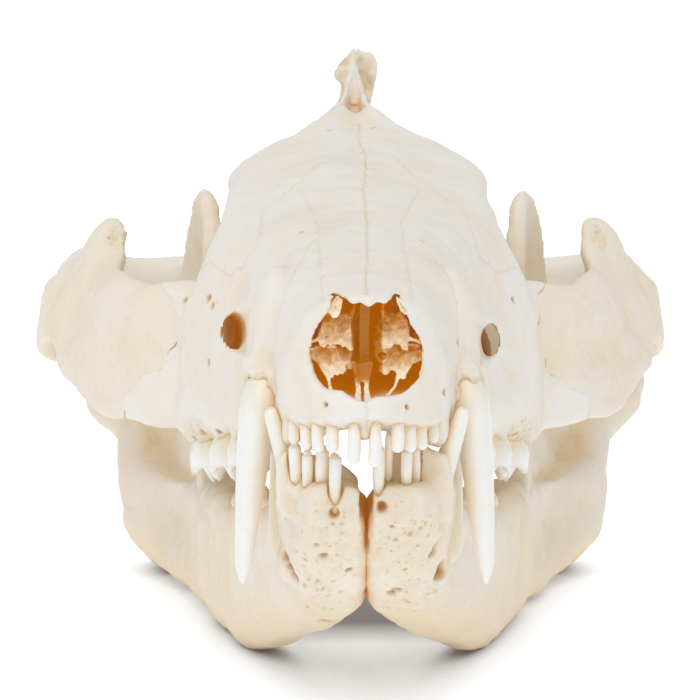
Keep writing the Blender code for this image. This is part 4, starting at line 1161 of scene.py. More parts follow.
# Bars in the nose: path and half widths.
NOSE_BARS = (
    (((-3.5, 7.4, 34.4), (-3.3, 6.4, 33.5), (-3.05, 5.4, 32.7)), (0.22, 0.16, 0.26)),
    (((2.95, 7.4, 34.3), (2.64, 6.4, 33.5), (2.15, 5.2, 33.0), (1.6, 4.0, 32.4)), (0.2, 0.14, 0.14, 0.24)),
    (((-0.85, 7.4, 34.0), (-0.72, 5.4, 33.3), (-0.8, 3.2, 32.7), (-1.0, 1.8, 32.2)), (0.22, 0.24, 0.34, 0.5)),
    (((0.12, 7.4, 34.0), (0.02, 5.4, 33.3), (0.1, 3.2, 32.7), (0.3, 1.8, 32.2)), (0.22, 0.24, 0.34, 0.5)),
    (((-1.4, 8.6, 39.4), (-1.1, 8.8, 40.2), (-0.9, 9.2, 41.2)), (0.2, 0.16, 0.22)),
    (((-2.9, 8.6, 39.6), (-2.6, 8.8, 40.4), (-2.5, 9.2, 41.4)), (0.22, 0.14, 0.22)),
    (((1.6, 8.6, 39.4), (1.5, 8.8, 40.3), (1.7, 9.2, 41.2)), (0.2, 0.14, 0.2)),
    (((-4.2, 8.6, 37.6), (-4.9, 8.8, 37.4), (-5.6, 9.0, 37.4)), (0.2, 0.16, 0.3)),
    (((3.9, 8.6, 37.6), (4.7, 8.8, 37.4), (5.5, 9.0, 37.3)), (0.2, 0.16, 0.3)),
)
NOSE_SEPTUM = ((-0.55, 42.0), (0.40, 42.0), (0.34, 38.0), (0.38, 35.0), (-0.55, 35.0), (-0.58, 38.0))
WEB_THICKNESS = 0.55
WEB_GRAIN = 0.09
WEB_TILT, FRONT_WEB_TILT = 0.75, 0.2
WEB_RAGGEDNESS = 0.09
# A second row of webs stands behind the first, turned over and a little smaller.
BACK_WEBS = NOSE_WEBS[:5]
BACK_WEB_DEPTH = 2.2
BACK_WEB_MIDDLE = 37.4


def web_plate(name, outline, y, thickness, wander=0.0, tilt=0.0):
    """Flat plate that faces the front, or leans back by its tilt."""
    edge = np.array(outline, float)
    low = edge[:, 1].min()
    if wander:
        edge = jagged(np.vstack([edge, edge[:1]]), 0.12, wander, y)[:-1]
    rings = [[(x, y + level + tilt * (z - low), z) for x, z in edge] for level in (0.0, thickness)]
    return loft(name, rings, flat_ends=True)


def build_nose_webs():
    """Ragged bony webs, bars and partition inside the nose."""
    bodies = [web_plate("septum", NOSE_SEPTUM, 8.6, 7.0)]
    for outline, y, windows in NOSE_WEBS:
        tilt = WEB_TILT if y > 7.5 else FRONT_WEB_TILT
        web = web_plate("web", outline, y - 0.6, WEB_THICKNESS, WEB_RAGGEDNESS, tilt)
        holes = [web_plate("window", window, y - 3.0, 8.0, 0.05) for window in windows]
        bodies.append(cut_or_join(web, holes, "DIFFERENCE"))
    for outline, y, windows in BACK_WEBS:
        back = [(0.12 - 0.86 * x, BACK_WEB_MIDDLE + 0.95 * (z - BACK_WEB_MIDDLE)) for x, z in outline]
        bodies.append(web_plate("web", back, y + BACK_WEB_DEPTH, WEB_THICKNESS, 0.12, WEB_TILT * 0.6))
    bodies += [tube("bar", path, widths, around=14, steps=5) for path, widths in NOSE_BARS]
    webs = gathered("nose_webs", bodies)
    even_skin(webs, WEB_GRAIN)
    soften(webs, 2)
    points, normals = read_points(webs.data), read_normals(webs.data)
    aside, flat = np.abs(points[:, 0]), points * (1, 0, 1)
    bulge = 1.1 * roughness(flat, 0.6, 2, 3.0) - 0.22 * (aside - 2.6) ** 2
    bulge += 0.16 * roughness(flat, 2.4, 2, 5.0)
    points[:, 1] += bulge * np.clip((aside - 0.6) / 0.5, 0, 1) * (points[:, 1] > 5.8)
    points += normals * (0.05 * roughness(points, 3.5, 2, 8.0))[:, None]
    write_points(webs.data, points)
    thinned(webs)
    return webs


# Fine relief

# Seams of the cranium as lines of places.
MIDDLE_SEAM = ((0.0, 3.6, 42.2), (0.0, 8.8, 42.9), (0.2, 15.6, 43.9), (0.3, 23.9, 44.8), (0.4, 34.4, 46.1),
               (0.3, 45.2, 47.5), (0.7, 54.1, 48.7), (0.7, 63.4, 49.7), (0.1, 71.9, 50.8), (0.3, 79.0, 51.5))
NOSE_BACK_SEAM = ((-9.9, 46.0, 45.2), (-8.6, 48.2, 46.2), (-6.1, 53.2, 47.7), (-4.0, 56.9, 48.7),
                  (-1.9, 60.7, 49.3), (0.7, 63.4, 49.7), (3.3, 61.2, 49.3), (5.2, 56.4, 48.5),
                  (7.2, 52.4, 47.3), (9.0, 47.1, 45.8), (10.6, 46.0, 45.0))
SIDE_SEAMS = (
    ((-4.0, 5.2, 41.4), (-4.1, 14.4, 43.1), (-4.2, 24.2, 44.3), (-4.3, 32.5, 45.3), (-5.1, 42.0, 46.3),
     (-6.1, 49.2, 47.1)),
    ((4.2, 5.2, 41.3), (4.0, 14.3, 43.1), (3.8, 23.7, 44.4), (3.8, 32.0, 45.4), (4.9, 41.7, 46.3),
     (6.1, 49.2, 47.1)),
)
SNOUT_SEAMS = (
    ((-4.4, 26.0, 44.4), (-6.0, 19.6, 43.2), (-6.9, 15.0, 41.9), (-7.6, 13.9, 40.4), (-8.3, 13.4, 37.1),
     (-8.8, 13.0, 34.8), (-8.6, 12.4, 32.6)),
    ((4.2, 26.0, 44.6), (6.9, 21.3, 43.0), (7.7, 16.5, 41.7), (8.2, 15.0, 40.2), (8.6, 14.0, 36.9),
     (8.9, 13.2, 34.7), (8.4, 12.4, 32.6)),
)
EYE_CORNER_SEAMS = (
    ((-17.4, 49.0, 38.6), (-15.1, 45.8, 40.2), (-13.5, 40.7, 39.5), (-11.5, 36.4, 41.3), (-9.8, 36.0, 43.5),
     (-9.9, 46.0, 45.2)),
    ((17.4, 49.0, 38.4), (15.6, 46.0, 39.6), (13.9, 41.8, 39.6), (11.7, 38.0, 41.8), (10.8, 40.0, 43.5),
     (10.6, 46.0, 45.0)),
)
BACK_SEAMS = (
    ((0.0, 1.6, 32.9), (0.0, 0.9, 31.6), (0.0, 1.4, 30.2), (0.0, 5.0, 29.2), (0.0, 20.0, 28.6),
     (0.0, 45.0, 24.2)),
    ((-12.5, 92.0, 33.0), (-12.8, 100.0, 37.0), (-13.5, 108.0, 37.0), (-13.8, 114.0, 33.0)),
    ((12.5, 92.0, 33.0), (12.8, 100.0, 37.0), (13.5, 108.0, 37.0), (13.8, 114.0, 33.0)),
)
SEAM_WIDTH = 0.10
# Small holes: place, radius, depth.
CRANIUM_HOLES = (
    ((-15.1, 42.5, 36.9), 0.35, 0.8), ((-14.7, 41.3, 36.3), 0.28, 0.6), ((-17.7, 50.2, 35.7), 0.3, 0.6),
    ((8.6, 13.8, 36.4), 0.22, 0.4), ((7.0, 7.6, 32.7), 0.25, 0.4), ((-0.1, 83.4, 51.7), 0.3, 0.6),
    ((-2.9, 75.1, 51.0), 0.25, 0.4), ((-15.0, 40.1, 30.8), 0.3, 0.5), ((1.7, 76.5, 51.3), 0.22, 0.4),
    ((14.9, 43.0, 36.6), 0.3, 0.6), ((-3.2, 3.2, 32.2), 0.2, 0.4), ((3.4, 3.2, 32.0), 0.2, 0.4),
    ((-5.8, 30.0, 44.6), 0.2, 0.3), ((5.5, 26.0, 44.2), 0.2, 0.3),
    ((-17.3, 50.0, 21.6), 0.32, 0.8), ((-16.6, 47.6, 22.6), 0.3, 0.7), ((-15.6, 44.5, 23.4), 0.34, 0.8),
    ((-16.9, 51.5, 23.2), 0.25, 0.6), ((-14.0, 40.2, 24.0), 0.3, 0.7), ((17.2, 50.4, 21.9), 0.34, 0.8),
    ((16.4, 47.2, 22.9), 0.28, 0.7), ((15.2, 43.8, 23.5), 0.32, 0.8), ((-10.9, 13.9, 32.2), 0.24, 0.5),
    ((-9.5, 13.0, 32.9), 0.3, 0.6), ((9.2, 12.9, 32.6), 0.42, 0.9), ((10.9, 13.9, 32.4), 0.24, 0.5),
)
JAW_HOLES = {
    -1: (((-2.9, 5.8, 21.9), 0.42, 0.9), ((-3.9, 9.3, 17.9), 0.35, 0.8), ((-1.7, 11.6, 16.4), 0.32, 0.7),
         ((-7.3, 13.8, 16.4), 0.55, 1.5), ((-6.7, 13.7, 15.4), 0.45, 1.3), ((-6.3, 13.7, 14.5), 0.45, 1.3),
         ((-3.7, 26.2, 8.6), 0.5, 0.5), ((-3.1, 27.0, 8.2), 0.4, 0.4), ((-16.9, 62.0, 11.0), 0.3, 0.4)),
    1: (((1.4, 5.8, 22.5), 0.45, 1.0), ((6.1, 10.2, 18.3), 0.55, 1.4), ((6.1, 10.6, 17.4), 0.55, 1.4),
        ((3.1, 15.0, 13.8), 0.4, 0.9), ((2.6, 15.6, 13.2), 0.35, 0.8), ((7.0, 13.6, 14.6), 0.6, 1.2),
        ((6.6, 13.6, 15.6), 0.5, 1.2), ((5.8, 17.0, 13.2), 0.6, 0.6), ((2.4, 6.3, 21.0), 0.2, 0.4),
        ((15.6, 62.0, 11.0), 0.3, 0.4)),
}


# Unevenness of a whole skin: amount, scale, octaves, seed.
SKIN_RELIEF = ((0.3, 0.16, 3, 1.0), (0.08, 0.6, 3, 6.0))
# Pits of porous bone: spacing, size in the same measure.
PITS = ((0.55, 0.30), (1.15, 0.27))
PIT_DEPTH = 0.26
SEAM_ZONE = 0.45
HOLLOW_DEPTH = 0.12


def refine(skin, lines, spots, holes, places):
    """Smaller faces where seams, holes and pores come."""
    wanted = np.zeros(len(skin.points), bool)
    for line in lines:
        wanted |= skin.reach(line, SEAM_ZONE) < SEAM_ZONE
    for spot, (_, radius, _) in zip(spots, holes):
        wanted |= np.linalg.norm(skin.points - spot, axis=1) < radius * 1.8
    for place, half_size, *_ in places:
        wanted |= np.linalg.norm((skin.points - place) / half_size, axis=1) < 1.0
    skin.split(wanted)


def bone_relief(body, seams, holes, rough_spots, seed, fine_spots=()):
    """Work seams, holes, pores and the fine unevenness of dry bone into a skin."""
    skin = Skin(body)
    lines = [skin.on_skin(jagged(line, 0.12, sway, seed + i)) for i, (line, sway, _, _) in enumerate(seams)]
    spots = [skin.on_skin([place])[0] for place, _, _ in holes]
    refine(skin, lines, spots, holes, (*rough_spots, *fine_spots))
    points = skin.points
    move = sum(amount * roughness(points, *form) for amount, *form in SKIN_RELIEF)
    seam_mark, hole_mark, porous = (np.zeros(len(points)) for _ in range(3))
    for line, (_, _, width, depth) in zip(lines, seams):
        share = np.exp(-((skin.reach(line, 1.2) / width) ** 2))
        move -= depth * share
        seam_mark = np.maximum(seam_mark, share * min(1.0, depth * 5))
    for spot, (_, radius, depth) in zip(spots, holes):
        away = np.linalg.norm(points - spot, axis=1)
        share = 1 / (1 + np.exp((away / radius - 1) * 6))
        move -= depth * share
        hole_mark = np.maximum(hole_mark, share)
    for place, half_size, amount in rough_spots:
        share = falloff(np.linalg.norm((points - place) / half_size, axis=1), 1.0)
        near = np.nonzero(share > 0.01)[0]
        share = share[near]
        move[near] += share**0.5 * amount * roughness(points[near], 0.9, 3, seed + 9)
        porous[near] = np.maximum(porous[near], share**0.5)
        for spacing, size in PITS:
            pits = pitting(points[near], spacing, size, seed) * share**0.4
            move[near] -= spacing * PIT_DEPTH * pits
            hole_mark[near] = np.maximum(hole_mark[near], pits * 0.5)
    skin.shift(move)
    # For painted shade: how far each point lies sunk below its smoothed neighbours, which the paint turns
    # tan.
    near = eased(skin.points, read_pairs(body.data), 14)
    hollow = np.einsum("ij,ij->i", near - skin.points, skin.normals)
    for name, values in (("seam", seam_mark), ("hole", hole_mark), ("porous", porous),
                         ("hollow", hollow / HOLLOW_DEPTH)):
        skin.note(name, values)
    return skin


# Painted glow and shade: the amber share on the walls inside the nose and the eye-side canals stands for
# light through thin bone and for shade deep in.
CANAL_GLOW_SHADE = {-1: 0.6, 1: 0.28}


def facing_in(inward, away, normals):
    """1 where a wall faces the middle of its hollow."""
    return -np.einsum("ij,ij->i", inward, normals) / (away + 0.01)


def nose_walls(points, normals):
    """How far a place lies back on the walls inside the nose, from 0 to 1."""
    x, y, z = points.T
    inward = points * (1, 0, 1) - np.array((0.0, 0.0, 37.4))
    facing = facing_in(inward, np.linalg.norm(inward, axis=1), normals)
    edge_depth = y - (CRANIUM_ROWS[0][0] + face_set_back(x, z))
    near = (np.abs(x) < 6.6) & (np.abs(z - NOSE_CENTRE[1]) < 5.6) & (y < 19)
    back_wall = (normals[:, 1] < -0.6) & (edge_depth > 7)
    inside = np.clip((np.maximum(facing, back_wall) - 0.1) / 0.3, 0, 1)
    floor = np.clip((normals[:, 2] - 0.3) / 0.4, 0, 1) * np.clip((3.4 - np.abs(x)) / 1.6, 0, 1)
    return near * inside * np.clip((edge_depth - 0.6 - 0.6 * floor) / (4.0 + 3.5 * floor), 0, 1)


def canal_walls(points, normals, side):
    """The same for the walls of an eye-side canal."""
    path = spline(np.array(EYE_SIDE_CANAL[side]) * (side, 1, 1), 6)
    gaps = points[:, None, :] - path[None, ::2, :]
    away = np.linalg.norm(gaps, axis=2)
    nearest = (np.arange(len(points)), np.argmin(away, axis=1))
    gaps, away = gaps[nearest], away[nearest]
    close = np.clip((2.6 - away) / 0.4, 0, 1) * np.clip((facing_in(gaps, away, normals) - 0.3) / 0.4, 0, 1)
    return close * np.clip((points[:, 1] - 34.0) / 2.5, 0, 1) * (points[:, 1] < 60) * CANAL_GLOW_SHADE[side]


# Share of painted amber glow and shade in the hollows of the cranium.
def cavity_values(points, normals):
    found = [nose_walls(points, normals)] + [canal_walls(points, normals, side) for side in (-1, 1)]
    return np.maximum.reduce(found)


# Groove between the lips of the crest: from y to y, lowest z, and the share of painted amber glow and shade
# in it.
SLIT = (83, 106, 50)
SLIT_GLOW_SHADE = 0.25


def slit_values(points):
    """Painted amber glow and shade in the groove between the two lips of the crest."""
    x, y, z = points.T
    front, back, bottom = SLIT
    left, right = (np.array(TEMPLE_RIDGES[side]).T for side in (-1, 1))
    low, high = np.interp(y, left[1], left[0]) + 0.45, np.interp(y, right[1], right[0]) - 0.45
    middle = np.clip(np.minimum(x - low, high - x) / 0.5 + 0.4, 0, 1)
    deep = np.clip((np.interp(y, left[1], left[2]) - 0.35 - z) / 0.4, 0, 1)
    return middle * deep * (y > front) * (y < back) * (z > bottom) * SLIT_GLOW_SHADE


TOOTH_ZONE = 0.6


def tooth_closeness(points, teeth):
    """1 where bone touches a tooth, falling to 0 a little way off."""
    places = np.vstack([read_points(tooth.data)[::3] for tooth in teeth])
    web = nearest_finder(places)
    low, high = places.min(axis=0) - TOOTH_ZONE, places.max(axis=0) + TOOTH_ZONE
    found = np.zeros(len(points))
    for i in np.nonzero(np.all((points > low) & (points < high), axis=1))[0]:
        found[i] = max(0.0, 1.0 - web.find(Vector(points[i]))[2] / 0.5)
    return found


def chin_gap_values(skin, side):
    """Painted shade, amber with a glow, on the inner walls between the two halves of the jaw."""
    x, y, _ = skin.points.T
    inner = np.clip(-side * skin.normals[:, 0] - 0.2, 0, 1)
    return np.clip((1.6 - np.abs(x)) / 0.9, 0, 1) * (y < 32) * inner * 0.6


# Paint

def tone(red, green, blue):
    """Colour given in screen values, as linear light."""
    return tuple((v / 255 / 12.92 if v < 11 else ((v / 255 + 0.055) / 1.055) ** 2.4)
                 for v in (red, green, blue)) + (1.0,)


class Paint:
    """A material in the making."""

    def __init__(self, name):
        self.material = bpy.data.materials.new(name)
        self.material.use_nodes = True
        self.nodes = self.material.node_tree.nodes
        self.links = self.material.node_tree.links

    def put(self, node, key, value):
        if isinstance(value, bpy.types.NodeSocket):
            self.links.new(value, node.inputs[key])
        else:
            node.inputs[key].default_value = value

    def node(self, kind, inputs, output=0, **settings):
        item = self.nodes.new(kind)
        for key, value in settings.items():
            setattr(item, key, value)
        for key, value in inputs.items():
            self.put(item, key, value)
        return item.outputs[output]

    def spread(self, value, low, high, to_low=0.0, to_high=1.0):
        return self.node("ShaderNodeMapRange", {"Value": value, "From Min": low, "From Max": high,
                                                "To Min": to_low, "To Max": to_high})

    def maths(self, kind, a, b):
        return self.node("ShaderNodeMath", {0: a, 1: b}, operation=kind)

    def times(self, a, b):
        return self.maths("MULTIPLY", a, b)

    def plus(self, a, b):
        return self.maths("ADD", a, b)

    def blend(self, share, a, b):
        return self.node("ShaderNodeMix", {0: share, 6: a, 7: b}, output=2, data_type="RGBA")

    def layered(self, color, *layers):
        """Colour with others laid over it, each by its share."""
        for share, over in layers:
            color = self.blend(share, color, over)
        return color

    def noted(self, name):
        return self.node("ShaderNodeAttribute", {}, output=2, attribute_name=name)

    def places(self):
        """Places on the piece, in metres."""
        return self.node("ShaderNodeTexCoord", {}, output=3)

    def millimetre_places(self):
        return self.node("ShaderNodeVectorMath", {0: self.places(), 3: 1 / MM}, operation="SCALE")

    def axes(self, where):
        split = self.nodes.new("ShaderNodeSeparateXYZ")
        self.put(split, 0, where)
        return split.outputs

    def grain(self, where, scale, detail=2.0, rough=0.5):
        return self.node("ShaderNodeTexNoise", {"Vector": where, "Scale": scale, "Detail": detail,
                                                "Roughness": rough})

    def cells(self, where, scale):
        return self.node("ShaderNodeTexVoronoi", {"Vector": where, "Scale": scale, "Randomness": 1.0})

    def openness(self, distance, samples=3):
        """1 where nothing stands close, less in corners and hollows."""
        return self.node("ShaderNodeAmbientOcclusion", {"Distance": distance}, output=1, samples=samples)

    def bump(self, height, strength, distance):
        return self.node("ShaderNodeBump", {"Height": height, "Strength": strength, "Distance": distance})

    def done(self, settings):
        for key, value in settings.items():
            self.put(self.nodes["Principled BSDF"], key, value)
        return self.material


# Colours of the paints.  The warm bone tone is both the bone's own warmer patches and painted shade; the
# crevice, pit, hole, amber, deep web and middle web tones are painted shade, and the glow tones are painted
# light.
PALE_BONE, WARM_BONE_AND_SHADE, POROUS_BONE = tone(232, 229, 223), tone(231, 213, 183), tone(222, 208, 180)
CREVICE_SHADE, SPECKLE, PIT_SHADE = tone(212, 170, 112), tone(206, 184, 150), tone(190, 140, 80)
ROOT_STAIN, SEAM_STAIN, HOLE_SHADE = tone(214, 176, 104), tone(196, 164, 122), tone(196, 138, 66)
AMBER_GLOW_SHADE, AMBER_GLOW = tone(180, 122, 36), tone(132, 80, 4)
ENAMEL, ENAMEL_ROOT, ENAMEL_CLOUD = tone(236, 236, 233), tone(230, 218, 192), tone(232, 225, 206)
ENAMEL_SHADE, ENAMEL_GLOW = tone(226, 204, 164), tone(226, 206, 170)
WEB_EDGE, WEB_DEEP_SHADE, WEB_MIDDLE_SHADE = tone(242, 237, 222), tone(190, 140, 54), tone(160, 92, 4)
WEB_EDGE_GLOW, WEB_DEEP_GLOW = tone(150, 138, 108), tone(126, 80, 8)
SHEET_LIGHT, SHEET_DARK, SHEET_SHADE = (0.43, 0.44, 0.455, 1), (0.41, 0.42, 0.435, 1), (0.2, 0.2, 0.2, 1)


def bone_paint(name, warmth):
    """Dry bone, warmer in its pores, with painted shade in its hollows, crevices and pits.  warmth is added
    all over.
    """
    paint = Paint(name)
    where = paint.millimetre_places()
    broad, middle = paint.grain(where, 0.10, 3.0, 0.6), paint.grain(where, 0.55, 4.0, 0.6)
    fine = paint.grain(where, 3.5, 5.0, 0.65)
    # Painted shade: the bone turns tan where other surfaces stand close and in the hollows of the skin.
    shade_share = paint.spread(paint.openness(0.012), 0.92, 0.3)
    warm = paint.plus(paint.spread(broad, 0.38, 0.72, 0.0, 0.42), paint.times(shade_share, 0.95))
    warm = paint.plus(warm, paint.times(paint.noted("hollow"), 0.6))
    warm = paint.plus(warm, paint.spread(middle, 0.5, 0.75, 0.0, 0.16))
    warm = paint.maths("MINIMUM", paint.plus(warm, warmth), 1.0)
    porous, amber = paint.noted("porous"), paint.noted("amber")
    pitted = paint.maths("MAXIMUM", paint.spread(paint.cells(where, 1.7), 0.24, 0.13),
                         paint.spread(paint.cells(where, 3.6), 0.30, 0.16, 0.0, 0.6))
    picked = paint.spread(paint.grain(where, 0.9, 2.0), 0.50, 0.60)
    pitted = paint.times(pitted, paint.times(porous, picked))
    # The crevice, pit and hole layers are painted shade; the amber layer is painted glow and shade inside the
    # nose, the canals, the crest groove and the chin gap.
    color = paint.layered(
        PALE_BONE,
        (warm, WARM_BONE_AND_SHADE),
        (paint.spread(paint.openness(0.003), 0.6, 0.15, 0.0, 0.4), CREVICE_SHADE),
        (paint.spread(fine, 0.56, 0.80, 0.0, 0.14), SPECKLE),
        (paint.times(porous, 0.5), POROUS_BONE),
        (paint.times(pitted, 0.35), PIT_SHADE),
        (paint.times(paint.noted("root"), 0.75), ROOT_STAIN),
        (paint.times(paint.noted("seam"), 0.5), SEAM_STAIN),
        (paint.times(paint.noted("hole"), 0.8), HOLE_SHADE),
        (amber, AMBER_GLOW_SHADE))
    height = paint.plus(paint.times(fine, 0.5), paint.times(middle, 0.7))
    height = paint.maths("SUBTRACT", height, paint.times(pitted, 2.2))
    return paint.done({
        "Base Color": color,
        "Emission Color": AMBER_GLOW,
        # Painted glow: the amber places give off light of their own.
        "Emission Strength": paint.times(amber, 0.9),
        "Roughness": paint.spread(middle, 0.3, 0.7, 0.48, 0.66),
        "Normal": paint.bump(height, 0.35, 0.00012),
        "Subsurface Weight": 0.10,
        "Subsurface Radius": (1.0, 0.75, 0.5),
        "Subsurface Scale": 0.0008,
        "Specular IOR Level": 0.35,
    })


def tooth_paint(name, root_low, root_high):
    """Enamel that yellows towards the root, between two heights in millimetres, with painted shade and glow
    in close corners.
    """
    paint = Paint(name)
    where = paint.millimetre_places()
    rooted = paint.plus(paint.spread(paint.axes(where)[2], root_low, root_high),
                        paint.spread(paint.grain(where, 1.4, 3.0), 0.3, 0.7, -0.12, 0.12))
    # Painted shade where other surfaces stand close, and a painted glow that lifts the shaded enamel.
    shade_share = paint.spread(paint.openness(0.004), 0.8, 0.3)
    color = paint.layered(
        ENAMEL,
        (rooted, ENAMEL_ROOT),
        (paint.spread(paint.grain(where, 0.5, 3.0), 0.55, 0.75, 0.0, 0.25), ENAMEL_CLOUD),
        (paint.times(shade_share, 0.6), ENAMEL_SHADE))
    return paint.done({
        "Base Color": color,
        "Emission Color": ENAMEL_GLOW,
        "Emission Strength": paint.times(shade_share, 0.22),
        "Roughness": 0.3,
        "Normal": paint.bump(paint.grain(where, 2.5), 0.12, 0.0001),
        "Subsurface Weight": 0.2,
        "Subsurface Radius": (1.0, 0.9, 0.75),
        "Subsurface Scale": 0.0007,
    })


def nose_paint():
    """Thin plates, cream at their lower front edges, with painted shade and glow: amber higher up, deeper in
    and in corners.
    """
    paint = Paint("nose_plate_bone")
    where = paint.millimetre_places()
    x, y, z = paint.axes(where)
    # Painted shade: the amber share grows higher on each web and further back, away from the lit lower front
    # edges.
    low_web = paint.times(paint.spread(z, 34.5, 36.3), paint.spread(z, 36.7, 36.6))
    high_web = paint.times(paint.spread(z, 37.0, 39.2), paint.spread(z, 36.6, 36.7))
    depth = paint.times(paint.plus(low_web, high_web),
                        paint.spread(y, 6.0 - ORIGIN[1], 6.8 - ORIGIN[1], 0.4, 0.85))
    depth = paint.plus(depth, paint.spread(paint.grain(where, 1.6, 4.0), 0.3, 0.7, -0.3, 0.3))
    # Painted shade: more amber in corners.
    depth = paint.plus(depth, paint.spread(paint.openness(0.0015, 4), 0.85, 0.25, 0.0, 0.4))
    aside = paint.maths("ABSOLUTE", paint.plus(x, ORIGIN[0] - 0.1), 0.0)
    # Painted shade: darker amber on and beside the partition in the middle.
    central = paint.times(paint.spread(aside, 1.5, 1.0), paint.spread(z, 33.6, 34.4))
    depth = paint.plus(depth, paint.times(central, 1.6))
    depth = paint.maths("MINIMUM", paint.maths("MAXIMUM", depth, 0.0), 1.0)
    return paint.done({
        "Base Color": paint.layered(WEB_EDGE, (depth, WEB_DEEP_SHADE), (paint.times(central, 0.9), WEB_MIDDLE_SHADE)),
        "Emission Color": paint.blend(depth, WEB_EDGE_GLOW, WEB_DEEP_GLOW),
        # Painted glow: the plates give off light that grows further in.
        "Emission Strength": paint.spread(y, 3.0 - ORIGIN[1], 6.0 - ORIGIN[1], 0.0, 0.75),
        "Roughness": 0.5,
        "Subsurface Weight": 0.3,
        "Subsurface Radius": (1.0, 0.5, 0.15),
        "Subsurface Scale": 0.0012,
    })


def floor_paint():
    """White sheet that glows evenly, with painted shadow: the glow fades where the skull stands close, and a
    dark patch lies under the chin.
    """
    paint = Paint("white_floor")
    where = paint.places()
    x, y, _ = paint.axes(where)
    # Painted shadow under the chin, between the halves of the jaw.
    chin_shadow = paint.times(paint.spread(paint.maths("ABSOLUTE", x, 0.0), 0.013, 0.007),
                             paint.spread(y, -0.014, -0.003))
    chin_shadow = paint.times(chin_shadow, paint.spread(y, 0.030, 0.010))
    plain = paint.blend(paint.grain(where, 30.0), SHEET_DARK, SHEET_LIGHT)
    lit = paint.maths("SUBTRACT", 1.0, paint.times(chin_shadow, 0.88))
    return paint.done({
        # Painted shadow: a darker sheet and a weaker glow under the chin and close to the skull.
        "Base Color": paint.blend(paint.times(chin_shadow, 0.4), plain, SHEET_SHADE),
        "Emission Color": (1.0, 1.0, 1.0, 1.0),
        "Emission Strength": paint.times(lit, paint.spread(paint.openness(0.021, 8), 0.1, 0.6, 0.0, 0.75)),
        "Roughness": 0.8,
        "Specular IOR Level": 0.1,
    })


# Putting it together

def finished(piece, paint, slot, *nodes):
    piece.data.materials.clear()
    piece.data.materials.append(paint)
    piece.data.shade_smooth()
    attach(piece, "root")
    if nodes:
        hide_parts(*nodes)


# Porous places: place, half sizes, amount.
CRANIUM_ROUGH = (((16.2, 46.5, 22.6), (2.8, 9.0, 2.6), 0.35), ((9.6, 14.6, 32.4), (2.6, 3.2, 1.6), 0.3))
GUM_ROUGH = ((-0.1, 2.4, 30.4), (1.2, 2.0, 1.3), 0.15)
CHEEK_ROUGH = (((26.2, 76.4, 39.2), (1.5, 2.4, 2.6), 0.55),)
JAW_ROUGH = (((3.4, 9.0, 18.5), (4.4, 9.0, 7.6), 0.2), ((4.6, 18.0, 11.0), (4.0, 9.0, 5.0), 0.16))
CANAL_MOUTH = (((12.3, 37.0, 33.8), (2.6, 3.2, 3.0)),)
CHEEK_FACE_LIMIT = 110000
# How warm the bone is, and between which heights the enamel yellows.
BONE_WARMTH = {"cranium": -0.04, "jaw": 0.24, "cheek": 0.3}
ENAMEL_HEIGHTS = {"front": (29.6, 31.2), "long": (29.5, 35.5), "lower": (25.6, 22.6), "cheek": (20.0, 27.0)}
TEETH_ENAMEL = {"upper_incisors": "front", "upper_cheek_teeth": "cheek", "lower_teeth_left": "lower",
                "lower_teeth_right": "lower", "canine_left": "long", "canine_right": "long"}


def cranium_seams():
    """Seams with how far they wander, their width and depth."""
    return ([(MIDDLE_SEAM, 0.22, SEAM_WIDTH, 0.12), (NOSE_BACK_SEAM, 0.5, SEAM_WIDTH * 1.2, 0.06)]
            + [(line, 0.3, SEAM_WIDTH * 1.1, 0.06) for line in SIDE_SEAMS + SNOUT_SEAMS]
            + [(line, 0.35, SEAM_WIDTH * 1.2, 0.07) for line in EYE_CORNER_SEAMS + BACK_SEAMS])


def make_cranium(paint, teeth):
    cranium = build_cranium()
    rough = mirrored(CRANIUM_ROUGH, -1) + mirrored(CRANIUM_ROUGH, 1) + [GUM_ROUGH]
    mouths = mirrored(CANAL_MOUTH, -1) + mirrored(CANAL_MOUTH, 1)
    skin = bone_relief(cranium, cranium_seams(), CRANIUM_HOLES, rough, 1.0, mouths)
    skin.note("amber", cavity_values(skin.points, skin.normals))
    skin.note("root", tooth_closeness(skin.points, teeth))
    thinned(cranium)
    finished(cranium, paint, "bone", "cranium")
    crest = build_crest()
    skin = bone_relief(crest, [], [], [], 5.0)
    skin.note("amber", slit_values(skin.points))
    thinned(crest)
    finished(crest, paint, "bone")


def make_cheek(side, word, paint):
    cheek = build_cheek_bone(side, "cheek_bone_" + word)
    bone_relief(cheek, [], [], mirrored(CHEEK_ROUGH, side), 20.0 + side)
    thinned(cheek, CHEEK_FACE_LIMIT)
    finished(cheek, paint, "bone", "zygoma_" + word)


def make_jaw(side, word, paint, teeth):
    jaw = build_jaw(side, "jaw_" + word)
    skin = bone_relief(jaw, [], JAW_HOLES[side], mirrored(JAW_ROUGH, side), 40.0 + side)
    skin.note("amber", chin_gap_values(skin, side))
    skin.note("root", tooth_closeness(skin.points, teeth))
    above_floor(jaw)
    thinned(jaw)
    finished(jaw, paint, "bone", "mandible_" + word)


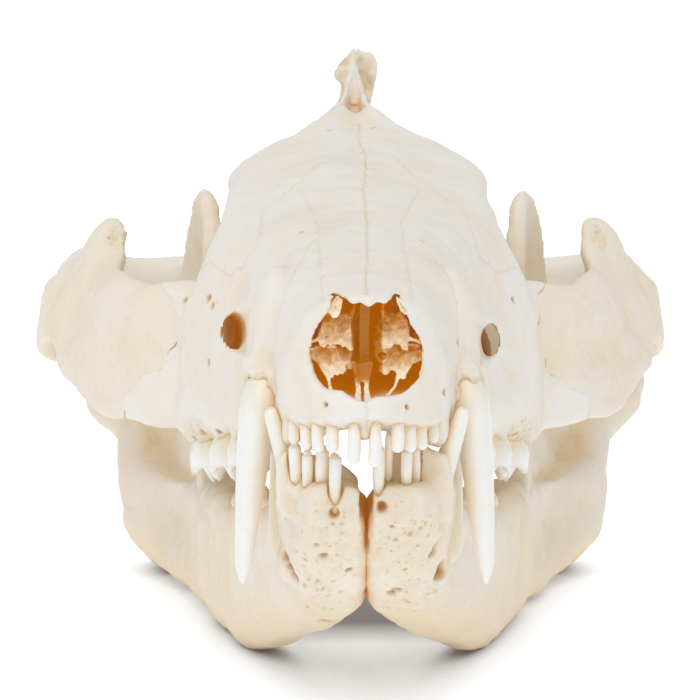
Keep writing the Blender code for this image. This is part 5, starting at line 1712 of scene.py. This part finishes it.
def make_skull():
    bone = {name: bone_paint(name + "_bone_paint", warmth) for name, warmth in BONE_WARMTH.items()}
    pieces = build_teeth()
    upper = [piece for name, piece in pieces.items() if not name.startswith("lower")]
    lower = [piece for name, piece in pieces.items() if name.startswith("lower")]
    make_cranium(bone["cranium"], upper)
    for side, word in SIDES:
        make_cheek(side, word, bone["cheek"])
        make_jaw(side, word, bone["jaw"], lower)
    enamel = {name: tooth_paint(name + "_tooth_paint", *heights) for name, heights in ENAMEL_HEIGHTS.items()}
    for name, kind in TEETH_ENAMEL.items():
        nodes = ["upper_" + name] if kind == "long" else []
        finished(pieces[name], enamel[kind], "tooth", *nodes)
    finished(build_nose_webs(), nose_paint(), "bone")


FLOOR_HALF = 4


def make_floor():
    mesh = bpy.data.meshes.new("floor")
    corners = [(-FLOOR_HALF, -FLOOR_HALF, 0), (FLOOR_HALF, -FLOOR_HALF, 0), (FLOOR_HALF, FLOOR_HALF, 0),
               (-FLOOR_HALF, FLOOR_HALF, 0)]
    mesh.from_pydata(corners, [], [(0, 1, 2, 3)])
    mesh.materials.append(floor_paint())
    floor = set_out("floor", mesh)


def aimed(item, aim):
    item.rotation_euler = Vector(aim).to_track_quat("-Z", "Y").to_euler()
    return item


CAMERA_PLACE = (-0.004539, -0.403469, 0.085435)
CAMERA_AIM = (0.01037, 0.99021, -0.13917)
PICTURE_WIDTH = 700
FOCAL_PIXELS = 3857.0
SENSOR = 36.0


def make_camera():
    lens = bpy.data.cameras.new("camera")
    lens.sensor_width = SENSOR
    lens.lens = SENSOR * FOCAL_PIXELS / PICTURE_WIDTH
    lens.clip_start = 0.01
    camera = aimed(set_out("camera", lens), CAMERA_AIM)
    camera.location = CAMERA_PLACE
    bpy.context.scene.camera = camera


ROOM_STRENGTH = 0.66
TOP_LIGHT_AIM = (0.15, 0.6, -1.0)
TOP_LIGHT_STRENGTH = 1.08
TOP_LIGHT_SOFTNESS = 50.0


def make_light():
    """Even white room with one broad soft light from above."""
    world = bpy.data.worlds.new("studio")
    world.use_nodes = True
    sky = world.node_tree.nodes["Background"]
    sky.inputs[0].default_value = (1.0, 1.0, 1.0, 1.0)
    sky.inputs[1].default_value = ROOM_STRENGTH
    bpy.context.scene.world = world
    lamp = bpy.data.lights.new("top_light", "SUN")
    lamp.energy = TOP_LIGHT_STRENGTH
    lamp.angle = math.radians(TOP_LIGHT_SOFTNESS)
    aimed(set_out("top_light", lamp), TOP_LIGHT_AIM)
    bpy.context.scene.view_settings.view_transform = "Standard"


make_skull()
make_floor()
make_camera()
make_light()
